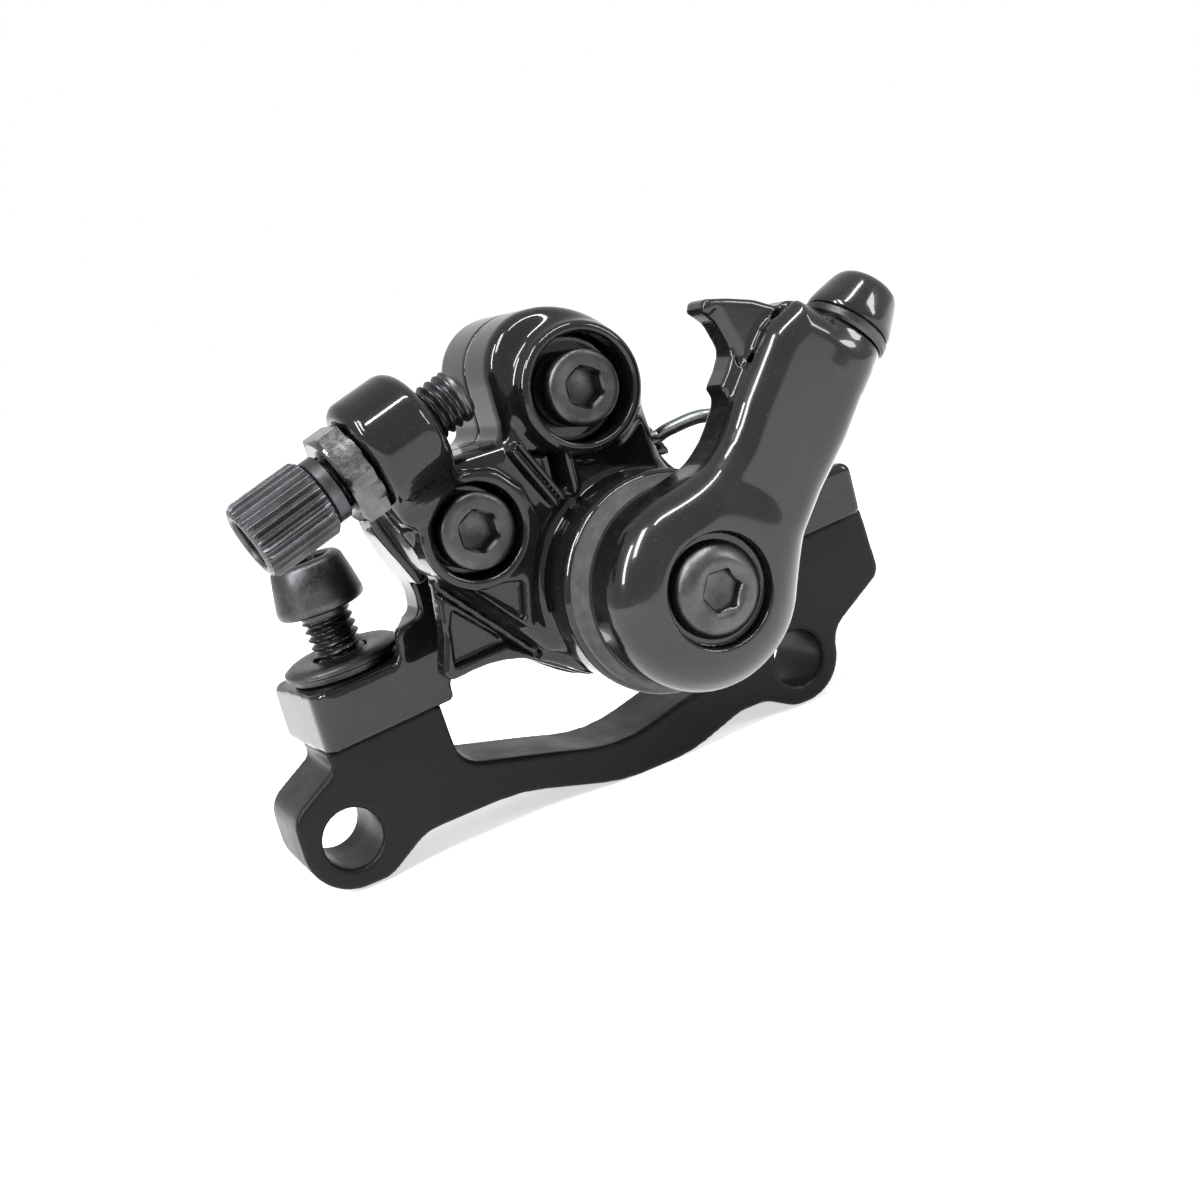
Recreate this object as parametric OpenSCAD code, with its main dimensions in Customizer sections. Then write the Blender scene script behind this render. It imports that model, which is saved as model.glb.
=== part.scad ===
/* [Bracket] */
// Distance between the centres of the two frame bolt holes
hole_pitch = 62; // [58:0.5:66]
// Diameter of the two frame bolt holes
hole_d = 7.2; // [6.4:0.1:7.6]
// Thickness of the bracket plate
plate_t = 12; // [10.5:0.5:13.5]
// Radius of the lug round each frame bolt hole
lug_r = 6; // [5.4:0.1:6.6]
// Width of each post under a caliper ear
post_w = 15; // [14:0.5:16]
// Angle between the post tops and the line of holes, degrees
seat_tilt = 4; // [2:0.5:6]
// Height of the post tops above the line of holes, at the pivot
seat_rise = 13.3; // [12.5:0.1:14]
// Height of the thin bar that joins the two posts
bar_h = 5; // [4:0.5:6]

/* [Rotor slot] */
// Distance from the bracket's front face to the middle of the rotor
rotor_y = 5.5; // [5.2:0.1:6]
// Width of the slot that the rotor runs in
slot_w = 6; // [5:0.25:6.5]
// Radius of the rotor that the slot clears
rotor_r = 70; // [68:0.5:70.5]
// Free space between the rotor's edge and the bridge of the body
rotor_gap = 1.2; // [0.6:0.1:1.4]

/* [Body] */
// Distance between the two mounting bolts
bolt_pitch = 62; // [60:0.5:64]
// Sideways distance from the middle of the holes to the arm pivot
pivot_x = 6.8; // [6:0.1:7.6]
// Height of the arm pivot above the post tops
pivot_rise = 6.7; // [6:0.1:7.4]
// Outer radius of the cam housing
housing_r = 12.2; // [12:0.1:12.6]
// Depth of the cam housing in front of the rotor slot
housing_d = 11; // [10.5:0.25:12]
// Depth of the front half's lobes in front of the seam
lobe_d = 8; // [7:0.25:8.5]
// Thickness of the rear half behind the rotor slot
rear_t = 6.5; // [5.5:0.25:7.5]
// Thickness of the rear half's ears behind the rotor slot
ear_d = 16.5; // [15.5:0.25:17.5]
// Height of the ears above the post tops
ear_h = 7; // [6:0.25:8]
// Radius of the pad pocket
pad_r = 10.4; // [9.8:0.1:10.5]

/* [Screws] */
// Diameter of the mounting bolts
mount_d = 6; // [5.6:0.1:6]
// How far the left mounting bolt is screwed out
backed_out = 5.6; // [4:0.2:6.2]
// Diameter of the two body screws
body_screw_d = 5; // [4.6:0.1:5.2]
// Diameter of the adjuster's thread
barrel_thread_d = 6; // [5.6:0.1:6.2]

/* [Arm] */
// Angle of the lever above the line of holes, degrees
arm_angle = 41; // [38:1:44]
// Distance from the pivot to the lever's end face
arm_len = 32; // [31:0.1:33]
// Radius of the arm's round boss
arm_boss_r = 11.2; // [10.8:0.1:11.6]
// Thickness of the arm, front to back
arm_t = 8; // [7.5:0.25:8.5]

/* [Adjuster] */
// Angle of the adjuster above the line of holes, degrees
barrel_angle = 18; // [16:0.5:20]
// Outer radius of the knurled adjuster
barrel_r = 4.4; // [4.1:0.1:4.6]
// Length of the knurled adjuster
barrel_len = 8.8; // [8:0.1:9.4]
// Number of ribs round the adjuster
barrel_ribs = 20; // [16:1:24]
// Outer radius of the cast boss that holds the adjuster
stop_r = 6.6; // [6:0.1:6.8]
// Sideways distance from the arm pivot to the adjuster's boss
stop_out = 28.1; // [27.7:0.1:28.5]
// Height of the adjuster's boss above the arm pivot
stop_up = 21.9; // [21.5:0.1:22.3]

/* [Hidden] */
$fn = 64;
fit = 0.05;
touch = 0.02;

// Places along the front-to-back axis, front is negative
seam_y = -rotor_y;
slot_front = seam_y - slot_w / 2;
slot_back = seam_y + slot_w / 2;
lobe_y = seam_y - lobe_d;
tower_y = lobe_y - 2;
housing_y = slot_front - housing_d;
arm_back = housing_y - 3;
arm_front = arm_back - arm_t;
rear_back = slot_back + rear_t;
ear_back = slot_back + ear_d;
bolt_y = plate_t / 2;
pad_boss_back = rear_back + 5;

// Places in the plane of the rotor
pivot_z = seat_rise + pivot_rise;
bolt_dx = bolt_pitch / 2 * cos(seat_tilt);
left_x = pivot_x - bolt_dx;
right_x = pivot_x + bolt_dx;
function seat(x) = seat_rise + tan(seat_tilt) * (x - pivot_x);
hub_drop = rotor_r - pad_r;
hub_x = pivot_x + sin(seat_tilt) * hub_drop;
hub_z = pivot_z - cos(seat_tilt) * hub_drop;

// Upper and lower lobe of the body, measured from the pivot
upper_lobe = [pivot_x - 2.2, pivot_z + 22.8];
lower_lobe = [pivot_x - 18.4, pivot_z + 11.6];
counterbore_r = 6;
lower_bore_r = 5.2;
lower_tower_r = lower_bore_r + 1.1;
tower_wall = 1.1;
head_h = body_screw_d;
head_r = body_screw_d * 0.85;
floor_y = tower_y + head_h - 0.5;

// Mechanism inside the housing, from the arm inwards
shaft_r = 4.5;
bush_r = 6.2;
cam_r = 9.2;
cam_chamber_r = 9.6;
front_wall = 1.6;
thrust_t = 0.6;
disc_t = 2.2;
ball_r = 1.75;
ball_pitch_r = 6.2;
ball_bite = 1.1;
ramp_rise = 0.55;
ramp_span = 17.5;
chamber_front = housing_y + front_wall;
thrust_y = chamber_front + 0.05;
disc_y = thrust_y + thrust_t + 0.05;
ball_y = disc_y + disc_t + ball_r - ball_bite;
piston_y = ball_y + ball_r - ball_bite;
pad_plate_t = 1.6;
rotor_t = 2;
moving_face = seam_y - rotor_t / 2 - 0.5;
lining_t = 2.2;
moving_plate_y = moving_face - lining_t - pad_plate_t;
fixed_face = seam_y + rotor_t / 2 + 0.3;
fixed_plate_y = fixed_face + lining_t;
fixed_plate_back = fixed_plate_y + pad_plate_t;

// Cable adjuster
stop_x = pivot_x - stop_out;
stop_z = pivot_z + stop_up;
barrel_y = seam_y - 8.5;
stop_len = 8;
nut_t = 3.4;
nut_af = 10;
collar_t = 1.5;

// Washers and heads
washer_t = 2;
washer_r = 7;
mount_head_r = mount_d * 0.87;
mount_head_h = mount_d;
mount_len = 18;
tap_depth = mount_len - ear_h - washer_t + 1;
slot_extra = 1.5;

/* Plain tools */

function unit(v) = v / norm(v);
function arc_steps(turn) = max(2, ceil(abs(turn) / 18));

// Points of one rounded corner: the corner's arc, drawn in by inset, or the corner itself at radius 0
function corner(a, b, c, inset) =
    let (d1 = unit([b[0] - a[0], b[1] - a[1]]),
         d2 = unit([c[0] - b[0], c[1] - b[1]]),
         turn = atan2(d1[0] * d2[1] - d1[1] * d2[0], d1 * d2),
         s = turn >= 0 ? 1 : -1,
         r = s > 0 ? max(b[2], inset + 0.08) : b[2],
         back = r * tan(abs(turn) / 2),
         side = [-d1[1], d1[0]],
         centre = [b[0], b[1]] - d1 * back + side * s * r,
         rho = max(r - s * inset, 0.01),
         start = atan2(-s * side[1], -s * side[0]),
         n = arc_steps(turn))
    b[2] == 0 ? [[b[0], b[1]]] :
    [for (k = [0 : n]) centre + rho * [cos(start + turn * k / n), sin(start + turn * k / n)]];

// A closed outline from corners [x, z, radius], anticlockwise, drawn in by inset
function outline(c, inset = 0) =
    [for (i = [0 : len(c) - 1])
        each corner(c[(i + len(c) - 1) % len(c)], c[i], c[(i + 1) % len(c)], inset)];

// A flat slab with sharp edges, standing across the front-to-back axis
module plate(c, y0, y1) {
    along_y(y0, y1) polygon(outline(c));
}

// A flat outline drawn out from y0 to y1
module along_y(y0, y1) {
    translate([0, y1, 0]) rotate([90, 0, 0]) linear_extrude(height = y1 - y0) children();
}

// A round bar along the front-to-back axis
module rod_y(at, r, y0, y1) {
    translate([at[0], y1, at[1]]) rotate([90, 0, 0]) cylinder(r = r, h = y1 - y0);
}

// A turned shape round the front-to-back axis, from a profile of [radius, y]
module turned_y(at, profile) {
    translate([at[0], 0, at[1]]) rotate([90, 0, 0])
        rotate_extrude() polygon([for (p = profile) [p[0], -p[1]]]);
}

// A ring round the front-to-back axis
module ring_y(at, r_in, r_out, y0, y1) {
    difference() {
        rod_y(at, r_out, y0, y1);
        rod_y(at, r_in, y0 - 1, y1 + 1);
    }
}

// A straight rib between two places, from y0 to y1
module rib(a, b, w, y0, y1) {
    d = unit(b - a);
    s = [-d[1], d[0]] * w / 2;
    along_y(y0, y1) polygon([a - s, b - s, b + s, a + s]);
}

// Moves a shape onto a mounting bolt's axis, with z pointing out of the post
module at_bolt(x) {
    translate([x, bolt_y, seat(x)]) rotate([0, -seat_tilt, 0]) children();
}

// Moves a shape onto the adjuster's axis, with z pointing towards the arm
module at_barrel() {
    translate([stop_x, barrel_y, stop_z]) rotate([0, 90 - barrel_angle, 0]) children();
}

// Moves a shape into the lever's own frame, with x along the lever
module at_arm() {
    translate([pivot_x, 0, pivot_z]) rotate([0, -arm_angle, 0]) children();
}

// A socket cap screw along z with its head's base at z = 0
module cap_screw(d, head_h, head_r, len, socket_af, socket_d) {
    difference() {
        union() {
            rotate_extrude() polygon([[0, 0], [head_r - 0.2, 0], [head_r, 0.2], [head_r, head_h - 0.5],
                                      [head_r - 0.5, head_h], [0, head_h]]);
            translate([0, 0, -len]) cylinder(d1 = d - 1, d2 = d, h = 0.5);
            translate([0, 0, 0.5 - len]) cylinder(d = d, h = len);
        }
        translate([0, 0, head_h - socket_d]) cylinder(d = socket_af / cos(30), h = socket_d + 1, $fn = 6);
    }
}

/* Bracket */

lug_x = hole_pitch / 2;
post_half = post_w / 2;
bracket_corners = [
    [-lug_x - lug_r, -lug_r, lug_r], [-lug_x + 3, -lug_r, 4], [-lug_x + 8.5, -2.6, 6],
    [-10, -2.5, 20], [3, -6.3, 18], [13, -6.3, 16], [lug_x - 10, -3.8, 5],
    [lug_x - 6, -3.8, 4], [lug_x - 2, -lug_r, 4], [lug_x + lug_r, -lug_r, lug_r],
    [lug_x + lug_r, 1.6, 4], [right_x + post_half + 0.7, 6.8, 2.2],
    [right_x + post_half, seat(right_x + post_half) - touch, 0.7],
    [right_x - post_half, seat(right_x - post_half) - touch, 0.7],
    [right_x - post_half, 3, 7], [14, bar_h - 4.4, 16], [4, bar_h - 6.9, 18],
    [-4, bar_h - 4.6, 16], [left_x + post_half + 0.4, 3.6, 3.5],
    [left_x + post_half, seat(left_x + post_half) - touch, 0.7],
    [left_x - post_half, seat(left_x - post_half) - touch, 0.7],
    [left_x - post_half + 1.2, 8.6, 1.4], [-lug_x - lug_r, 4.6, 3.5]];

module bracket() {
    color([0.13, 0.13, 0.14]) difference() {
        plate(bracket_corners, 0, plate_t);
        for (s = [-1, 1]) rod_y([s * lug_x, 0], hole_d / 2, -1, plate_t + 1);
        for (x = [left_x, right_x]) at_bolt(x)
            translate([0, 0, -tap_depth]) cylinder(r = mount_d / 2 + fit, h = tap_depth + 1);
    }
}

/* Rear half of the body */

// Outline of the upper lobe, the same on both halves
lobe_left = pivot_x - 11.6;
lobe_top = pivot_z + 32.4;
step_z = pivot_z + 19.6;
flank_x = pivot_x + 6.2;
ridge_x = pivot_x - 27;
lobe_corners = [
    [pivot_x + 5.5, pivot_z + 21, 8], [pivot_x + 1.3, lobe_top, 8.4], [lobe_left, lobe_top, 6.5],
    [lobe_left, step_z, 1.5], [ridge_x + 2.4, step_z, 3]];
ear_z = 1.5;
rear_corners = concat([
    [left_x + post_half - 3, seat(left_x) + 1.2, 0.8], [left_x + post_half + 2.5, seat(left_x) + 4, 4],
    [pivot_x - 13, pivot_z - 6.3, 5], [pivot_x - 5, pivot_z - housing_r + 0.5, 6],
    [pivot_x + 5, pivot_z - housing_r + 0.5, 6], [pivot_x + 13, pivot_z - 5.5, 5],
    [right_x - post_half - 3, seat(right_x) + 3, 4], [right_x - post_half + 3, seat(right_x) + ear_z, 0.8],
    [right_x - post_half + 3, seat(right_x) + ear_h - ear_z, 0.8],
    [right_x - post_half - 2.4, seat(right_x) + ear_h + 4, 2],
    [pivot_x + 12.8, pivot_z + 8, 6], [pivot_x + 9.2, pivot_z + 15.5, 8]], lobe_corners, [
    [ridge_x, pivot_z + 14.5, 4], [ridge_x + 4, pivot_z + 5.5, 5],
    [ridge_x + 3.6, seat(left_x) + ear_h + 4.4, 1.2], [left_x + 4.2, seat(left_x) + ear_h + 3.6, 1],
    [left_x + 3.4, seat(left_x) + ear_h - ear_z, 0.8]]);

module rotor_space() {
    rod_y([hub_x, hub_z], rotor_r + rotor_gap, slot_front, slot_back);
}

// A hole drawn out front to back, so the body can be lined up with the rotor
module slotted(r, z0, h) {
    for (s = [-1, 1]) translate([0, s * slot_extra, z0]) cylinder(r = r, h = h);
    translate([-r, -slot_extra, z0]) cube([2 * r, 2 * slot_extra, h]);
}

module ear_cuts(x) {
    at_bolt(x) {
        slotted(washer_r + 0.5, ear_h, 9);
        slotted(mount_d / 2 + 0.3, -1, ear_h + 2);
    }
}

// One ear at its full depth
module ear_block(x0, x1) {
    plate([[x0, seat(x0), 0.8], [x1, seat(x1), 0.8], [x1, seat(x1) + ear_h, 1.4],
           [x0, seat(x0) + ear_h, 1.4]], slot_back + 0.1, ear_back);
}

module rear_body() {
    color([0.10, 0.10, 0.11]) difference() {
        union() {
            plate(rear_corners, seam_y, rear_back);
            ear_block(left_x - post_half - 0.6, left_x + post_half + 1.4);
            ear_block(right_x - post_half - 1.4, right_x + post_half - 1.4);
            turned_y([pivot_x, pivot_z], [[0, rear_back - 1.5], [housing_r - 0.4, rear_back - 1.5],
                [housing_r - 0.4, rear_back + 1], [housing_r - 1.2, pad_boss_back - 0.6],
                [housing_r - 1.8, pad_boss_back], [0, pad_boss_back]]);
            for (p = [upper_lobe, lower_lobe])
                turned_y(p, [[0, rear_back - 1], [5.4, rear_back - 1], [4.8, rear_back + 1.6],
                    [0, rear_back + 1.6]]);
            rib([pivot_x + 10, pivot_z - 1], [right_x - post_half + 1, seat(right_x) + 3.5],
                4.6, rear_back - 1.2, rear_back + 4);
            rib([pivot_x - 10, pivot_z - 1], [left_x + post_half - 1, seat(left_x) + 3.5],
                4.6, rear_back - 1.2, rear_back + 4);
        }
        rotor_space();
        for (x = [left_x, right_x]) ear_cuts(x);
        rod_y([pivot_x, pivot_z], pad_r + 0.3, seam_y - 1, fixed_plate_back + 0.1);
        rod_y([pivot_x, pivot_z], adjuster_r + fit, fixed_plate_back - 1, pad_boss_back + 1);
        for (p = [upper_lobe, lower_lobe])
            rod_y(p, body_screw_d / 2 + fit, seam_y - 1, rear_back + 3);
    }
}

/* Front half of the body */

adjuster_r = 8.5;
main_corners = concat([
    [pivot_x - 13.4, pivot_z - 4.4, 1.5], [pivot_x - 4, pivot_z - 8, 3], [pivot_x + 8, pivot_z - 7, 4],
    [pivot_x + 11, pivot_z, 6], [pivot_x + 8, pivot_z + 8.6, 1], [flank_x, pivot_z + 12.4, 1.2]],
    [for (k = [0 : 2]) lobe_corners[k]], [[lobe_left, step_z, 0], [ridge_x + 1, step_z, 0],
    [ridge_x, step_z - 1, 0], [ridge_x + 3.3, pivot_z + 8.4, 6]]);
web_corners = [
    [pivot_x - 25.6, pivot_z - 3.9, 1], [pivot_x - 17, pivot_z - 3, 14], [pivot_x - 9, pivot_z - 8.4, 3],
    [pivot_x, pivot_z - 6, 3], [pivot_x, pivot_z + 4, 3], [pivot_x - 13, pivot_z + 9, 3],
    [pivot_x - 23, pivot_z + 8, 2], [pivot_x - 24, pivot_z + 1, 4]];
right_web_corners = [
    [pivot_x + 6, pivot_z - 9, 3], [pivot_x + 15, pivot_z - 8, 6],
        [right_x - post_half - 6, pivot_z - 3.6, 2],
    [right_x - post_half - 8, pivot_z + 4, 3], [pivot_x + 12, pivot_z + 9, 4], [pivot_x, pivot_z + 4, 3]];

module front_body() {
    color([0.07, 0.07, 0.08]) difference() {
        union() {
            plate(main_corners, lobe_y, seam_y);
            plate(web_corners, lobe_y + 1.7, slot_front + 0.8);
            plate(right_web_corners, lobe_y + 2.5, slot_front + 0.6);
            turned_y([pivot_x, pivot_z], [[0, slot_front + 1], [housing_r, slot_front + 1],
                [housing_r, housing_y + 2.4],
                [housing_r + 0.3, housing_y + 1.7], [housing_r + 0.3, housing_y + 0.6],
                [housing_r - 0.2, housing_y], [0, housing_y]]);
            turned_y(upper_lobe, [[0, lobe_y + 1.5], [counterbore_r + tower_wall + 0.9, lobe_y + 1.5],
                [counterbore_r + tower_wall, tower_y + 0.4], [counterbore_r + tower_wall - 0.4, tower_y],
                    [0, tower_y]]);
            rod_y(lower_lobe, lower_tower_r, tower_y + 0.1, lobe_y + 1.5);
            lower_tier();
            rib([pivot_x - 11.3, pivot_z + 18.6], [pivot_x - 8.2, pivot_z + 11.8],
                1.4, tower_y + 0.6, lobe_y + 1.1);
            rib([pivot_x - 5.7, pivot_z + 17], [pivot_x - 5.8, pivot_z + 12],
                1, tower_y + 0.7, lobe_y + 1.2);
            stop_boss();
        }
        rotor_space();
        pockets();
        rod_y(upper_lobe, counterbore_r, barrel_y - 9, floor_y);
        rod_y(lower_lobe, lower_bore_r, barrel_y - 9, floor_y);
        for (p = [upper_lobe, lower_lobe]) rod_y(p, body_screw_d / 2 + 0.3, floor_y - 1, seam_y + 1);
        rod_y([pivot_x, pivot_z], pad_r + 0.3, moving_plate_y - 0.1, seam_y + 1);
        rod_y([pivot_x, pivot_z], cam_chamber_r, chamber_front, moving_plate_y + 1);
        rod_y([pivot_x, pivot_z], bush_r + fit, housing_y - 1, chamber_front + 1);
        at_barrel() translate([0, 0, -2]) cylinder(r = barrel_thread_d / 2 + fit, h = stop_len + 4);
        translate([flank_x - 1.8, leg_end_y, leg_end_z]) rotate([0, 90, 0])
            cylinder(r = spring_wire / 2 + 0.25, h = 6);
    }
}

// Cast boss that the adjuster screws into, with its web down to the body
module stop_boss() {
    at_barrel() rotate_extrude() polygon([[0, 0], [stop_r - 0.7, 0], [stop_r, 0.7], [stop_r, stop_len - 1.8],
        [stop_r - 0.5, stop_len - 0.7], [stop_r - 1.9, stop_len], [0, stop_len]]);
    rib([stop_x + 4.8, stop_z - 2], [ridge_x + 4.4, pivot_z + 14.4], 6.6, barrel_y - 2.4, lobe_y + 2);
}

// Raised field round the lower screw: it runs down to a point beside the housing, with a recess in it
tier_corners = [
    [pivot_x - 22.5, pivot_z + 8, 2], [pivot_x - 15.1, pivot_z - 1.1, 0.6],
        [pivot_x - 13.2, pivot_z + 6.2, 3],
    [pivot_x - 11, pivot_z + 10.2, 2], [pivot_x - 11.8, pivot_z + 14.2, 2],
        [pivot_x - 14.6, pivot_z + 17.4, 3],
    [pivot_x - 20, pivot_z + 17.8, 3], [pivot_x - 25.2, pivot_z + 15, 2]];

module lower_tier() {
    difference() {
        plate(tier_corners, tower_y, lobe_y + 0.8);
        along_y(tower_y - 1, tower_y + 1.1) polygon([[pivot_x - 20.8, pivot_z + 6.2],
            [pivot_x - 16, pivot_z + 0.7],
            [pivot_x - 15, pivot_z + 4.9]]);
    }
}

// Recessed fields between the ribs
module pockets() {
    along_y(lobe_y - 1, lobe_y + 2.6) polygon([[pivot_x - 9.6, pivot_z + 17.6],
        [pivot_x - 7.3, pivot_z + 12.9],
        [pivot_x - 6.5, pivot_z + 12.8], [pivot_x - 6.5, pivot_z + 16.6]]);
    along_y(lobe_y - 1, lobe_y + 3.3) polygon([[pivot_x - 23.8, pivot_z - 2.4],
        [pivot_x - 17.4, pivot_z - 2],
        [pivot_x - 15.6, pivot_z - 3.4], [pivot_x - 22.3, pivot_z + 3.6], [pivot_x - 23.2, pivot_z + 2]]);
}

/* Screws */

module mount_screw(x, raised) {
    at_bolt(x) translate([0, 0, ear_h + washer_t + 0.02 + raised])
        difference() {
            union() {
                rotate_extrude() polygon([[0, 0], [mount_head_r - 0.4, 0], [mount_head_r, 0.4],
                    [mount_head_r, 1.1],
                    [mount_head_r - 0.8, mount_head_h - 0.5], [mount_head_r - 1.3, mount_head_h],
                        [0, mount_head_h]]);
                rotate_extrude() polygon([[0, -mount_len], [mount_d / 2 - 0.5, -mount_len],
                    [mount_d / 2, 0.5 - mount_len], [mount_d / 2, 0.5], [0, 0.5]]);
            }
            translate([0, 0, mount_head_h * 0.4]) cylinder(d = mount_d * 0.83 / cos(30), h = mount_head_h,
                $fn = 6);
        }
}

module mount_bolt_left() {
    color([0.16, 0.16, 0.17]) mount_screw(left_x, backed_out);
}

module mount_bolt_right() {
    color([0.16, 0.16, 0.17]) mount_screw(right_x, 0);
}

module mount_washers() {
    color([0.18, 0.18, 0.19]) for (x = [left_x, right_x]) at_bolt(x) translate([0, 0, ear_h + 0.01])
        difference() {
            rotate_extrude() polygon([[0, 0], [washer_r - 0.7, 0], [washer_r - 0.7, washer_t * 0.38],
                [washer_r, washer_t * 0.45], [washer_r, washer_t * 0.75], [washer_r - 0.9, washer_t],
                    [0, washer_t]]);
            translate([0, 0, -1]) cylinder(r = mount_d / 2 + 0.3, h = washer_t + 2);
        }
}

// The two screws that clamp the halves together, heads sunk in the lobes
module body_screws() {
    color([0.15, 0.15, 0.16]) for (p = [upper_lobe, lower_lobe])
        translate([p[0], floor_y - 0.01, p[1]]) rotate([90, 0, 0])
            cap_screw(body_screw_d, head_h, head_r, rear_back + 1 - floor_y, body_screw_d * 0.8,
                body_screw_d * 0.5);
}

/* Lever */

arm_ring_r = 7.9;
recess_r = 6.1;
recess_t = 1.2;
arm_bolt_d = 6;
shaft_grip = 4.6;
nose_r = 7.3;
nose_y = housing_y - 0.75;
pinch_y = arm_front + 5.4;
arm_outline = [
    [-8, -8, 8], [8.6, -7.2, 5], [15.8, -6.1, 14], [21.9, -5.8, 14], [arm_len - 2.4, -4.6, 2],
    [arm_len, -3.6, 1.5], [arm_len, 3.4, 1.5], [arm_len - 0.8, 7.8, 1.2], [26.5, 9.2, 6], [18, 7.9, 8],
    [13.9, 6.9, 10], [8.6, 7.4, 6], [-8, 8, 8]];
horn = [
    [17.6, 5, 1], [28.4, 5, 1], [31, 5.6, 0.3], [30, 7.8, 1], [28.7, 11.2, 2], [27, 13.9, 2],
        [25.3, 16.2, 0.5],
    [24.1, 15.7, 0.5], [24.2, 13.4, 1], [22.9, 10.4, 1.2], [20.8, 9.8, 1], [18.7, 9.5, 0.7], [18, 7.2, 0.8]];

module arm() {
    color([0.06, 0.06, 0.07]) difference() {
        union() {
            difference() {
                union() {
                    turned_y([pivot_x, pivot_z], [[0, arm_back], [arm_boss_r - 0.6, arm_back],
                        [arm_boss_r, arm_back - 0.6], [arm_boss_r, arm_front + 5.2],
                            [arm_boss_r - 0.7, arm_front + 3.6],
                        [arm_boss_r - 2.1, arm_front + 1.2], [arm_ring_r + 0.3, arm_front + 0.15],
                        [arm_ring_r, arm_front], [0, arm_front]]);
                    at_arm() {
                        plate(arm_outline, arm_front + 1.1, arm_back - 0.1);
                        along_y(arm_front + 0.1, arm_front + 1.5) polygon(outline(arm_outline, 1));
                        plate(horn, arm_front + 3.4, arm_back - 0.4);
                        translate([arm_len - 5, pinch_y, -0.7]) rotate([0, 90, 0])
                            cylinder(r = 4.9, h = 5.1);
                    }
                }
                rod_y([pivot_x, pivot_z], spring_r + 1.5, spring_floor, arm_back + 1);
            }
            rod_y([pivot_x, pivot_z], nose_r, spring_floor - 0.5, nose_y);
        }
        rod_y([pivot_x, pivot_z], recess_r, arm_front - 1, arm_front + recess_t);
        rod_y([pivot_x, pivot_z], shaft_r + 0.01, arm_back - shaft_grip, nose_y + 1);
        rod_y([pivot_x, pivot_z], arm_bolt_d / 2 + 0.2, arm_front - 1, arm_back - 1);
        rod_y([pivot_x + spring_r * cos(hook_angle), pivot_z + spring_r * sin(hook_angle)],
              spring_wire / 2 + 0.2, spring_floor - 1.8, spring_floor + 1);
        at_arm() {
            translate([arm_len - 12, pinch_y, -0.7]) rotate([0, 90, 0]) cylinder(r = 2.5 + fit, h = 20);
            cable_groove();
        }
    }
}

// Round groove that leads the cable from the horn to the clamp
module cable_groove() {
    translate([22.5, arm_front + 3.1, 8]) rotate([0, 90, 0]) cylinder(r = 0.75, h = arm_len);
}

module arm_bolt() {
    color([0.20, 0.20, 0.21]) translate([pivot_x, arm_front + recess_t - 0.01, pivot_z]) rotate([90, 0, 0])
        difference() {
            union() {
                rotate_extrude() polygon([[0, 0], [5.25, 0], [5.25, 0.5], [4.9, 1.1], [4.1, 1.8],
                    [3.3, 2.2], [0, 2.25]]);
                translate([0, 0, -9]) cylinder(d = arm_bolt_d, h = 9.5);
            }
            translate([0, 0, 0.3]) cylinder(d = 4 / cos(30), h = 4, $fn = 6);
        }
}

// Pinch bolt that clamps the inner cable on the end of the lever
module at_pinch() {
    at_arm() translate([arm_len + 0.2, pinch_y, -0.7]) rotate([0, 90, 0]) children();
}

module pinch_washer() {
    color([0.18, 0.18, 0.19]) at_pinch() translate([0, 0, 0.02]) difference() {
        cylinder(r = 5.1, h = 1.3);
        translate([0, 0, -1]) cylinder(r = 2.5 + 0.2, h = 4);
    }
}

module pinch_bolt() {
    color([0.16, 0.16, 0.17]) at_pinch() translate([0, 0, 1.34]) difference() {
        union() {
            rotate_extrude() polygon([[0, 0], [5, 0], [5, 0.7], [4, 4], [3.5, 4.9], [2.7, 5.35], [0, 5.4]]);
            translate([0, 0, -11]) cylinder(r = 2.5, h = 11.5);
        }
        translate([0, 0, 2.4]) cylinder(d = 4 / cos(30), h = 4, $fn = 6);
    }
}

/* Seal, spring and shaft */

module dust_seal() {
    color([0.05, 0.05, 0.05]) difference() {
        turned_y([pivot_x, pivot_z], [
            [11, housing_y - 0.02], [12, housing_y - 0.02], [12, housing_y - 0.8], [11.4, housing_y - 1.4],
            [11.8, housing_y - 2.2], [11.2, arm_back + 0.06], [10.2, arm_back + 0.06],
                [10.6, housing_y - 1.6]]);
        translate(leg_start) rotate([0, -leg_angle, 0])
            translate([-spring_wire, -4, 4]) cube([2 * spring_wire, 8, 12]);
    }
}

// Torsion spring: turns of wire round the nose, then a leg that hooks into the body's flank
spring_wire = 1.6;
spring_r = 8.7;
spring_turns = 2.1;
leg_angle = -25;
hook_angle = leg_angle - 360 * spring_turns;
coil_back = housing_y - 0.15 - spring_wire / 2;
spring_floor = arm_back - 3.4;
coil_front = spring_floor + 0.15 + spring_wire / 2;
leg_end_y = lobe_y + 1.9;
leg_end_z = pivot_z + 14.7;
leg_start = [pivot_x + spring_r * cos(leg_angle), coil_back, pivot_z + spring_r * sin(leg_angle)];
leg_way = [-sin(leg_angle), 0, cos(leg_angle)];
leg = concat(
    [for (t = [2.5 : 2.5 : 11]) leg_start + leg_way * t],
    smooth([leg_start + leg_way * 11, leg_start + leg_way * 14.5 + [0, 1.9, 0],
        [pivot_x + 14.2, lobe_y - 2.6, pivot_z + 14.2],
            [pivot_x + 11.4, lobe_y - 1.2, pivot_z + 15.7], [pivot_x + 8, lobe_y + 1, pivot_z + 15.2],
            [flank_x + 0.6, leg_end_y, leg_end_z], [flank_x - 1.2, leg_end_y, leg_end_z]], 3));
coil = [for (k = [0 : 50]) let (a = hook_angle + 360 * spring_turns * k / 50)
    [pivot_x + spring_r * cos(a), coil_front + (coil_back - coil_front)
        * k / 50, pivot_z + spring_r * sin(a)]];
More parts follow.
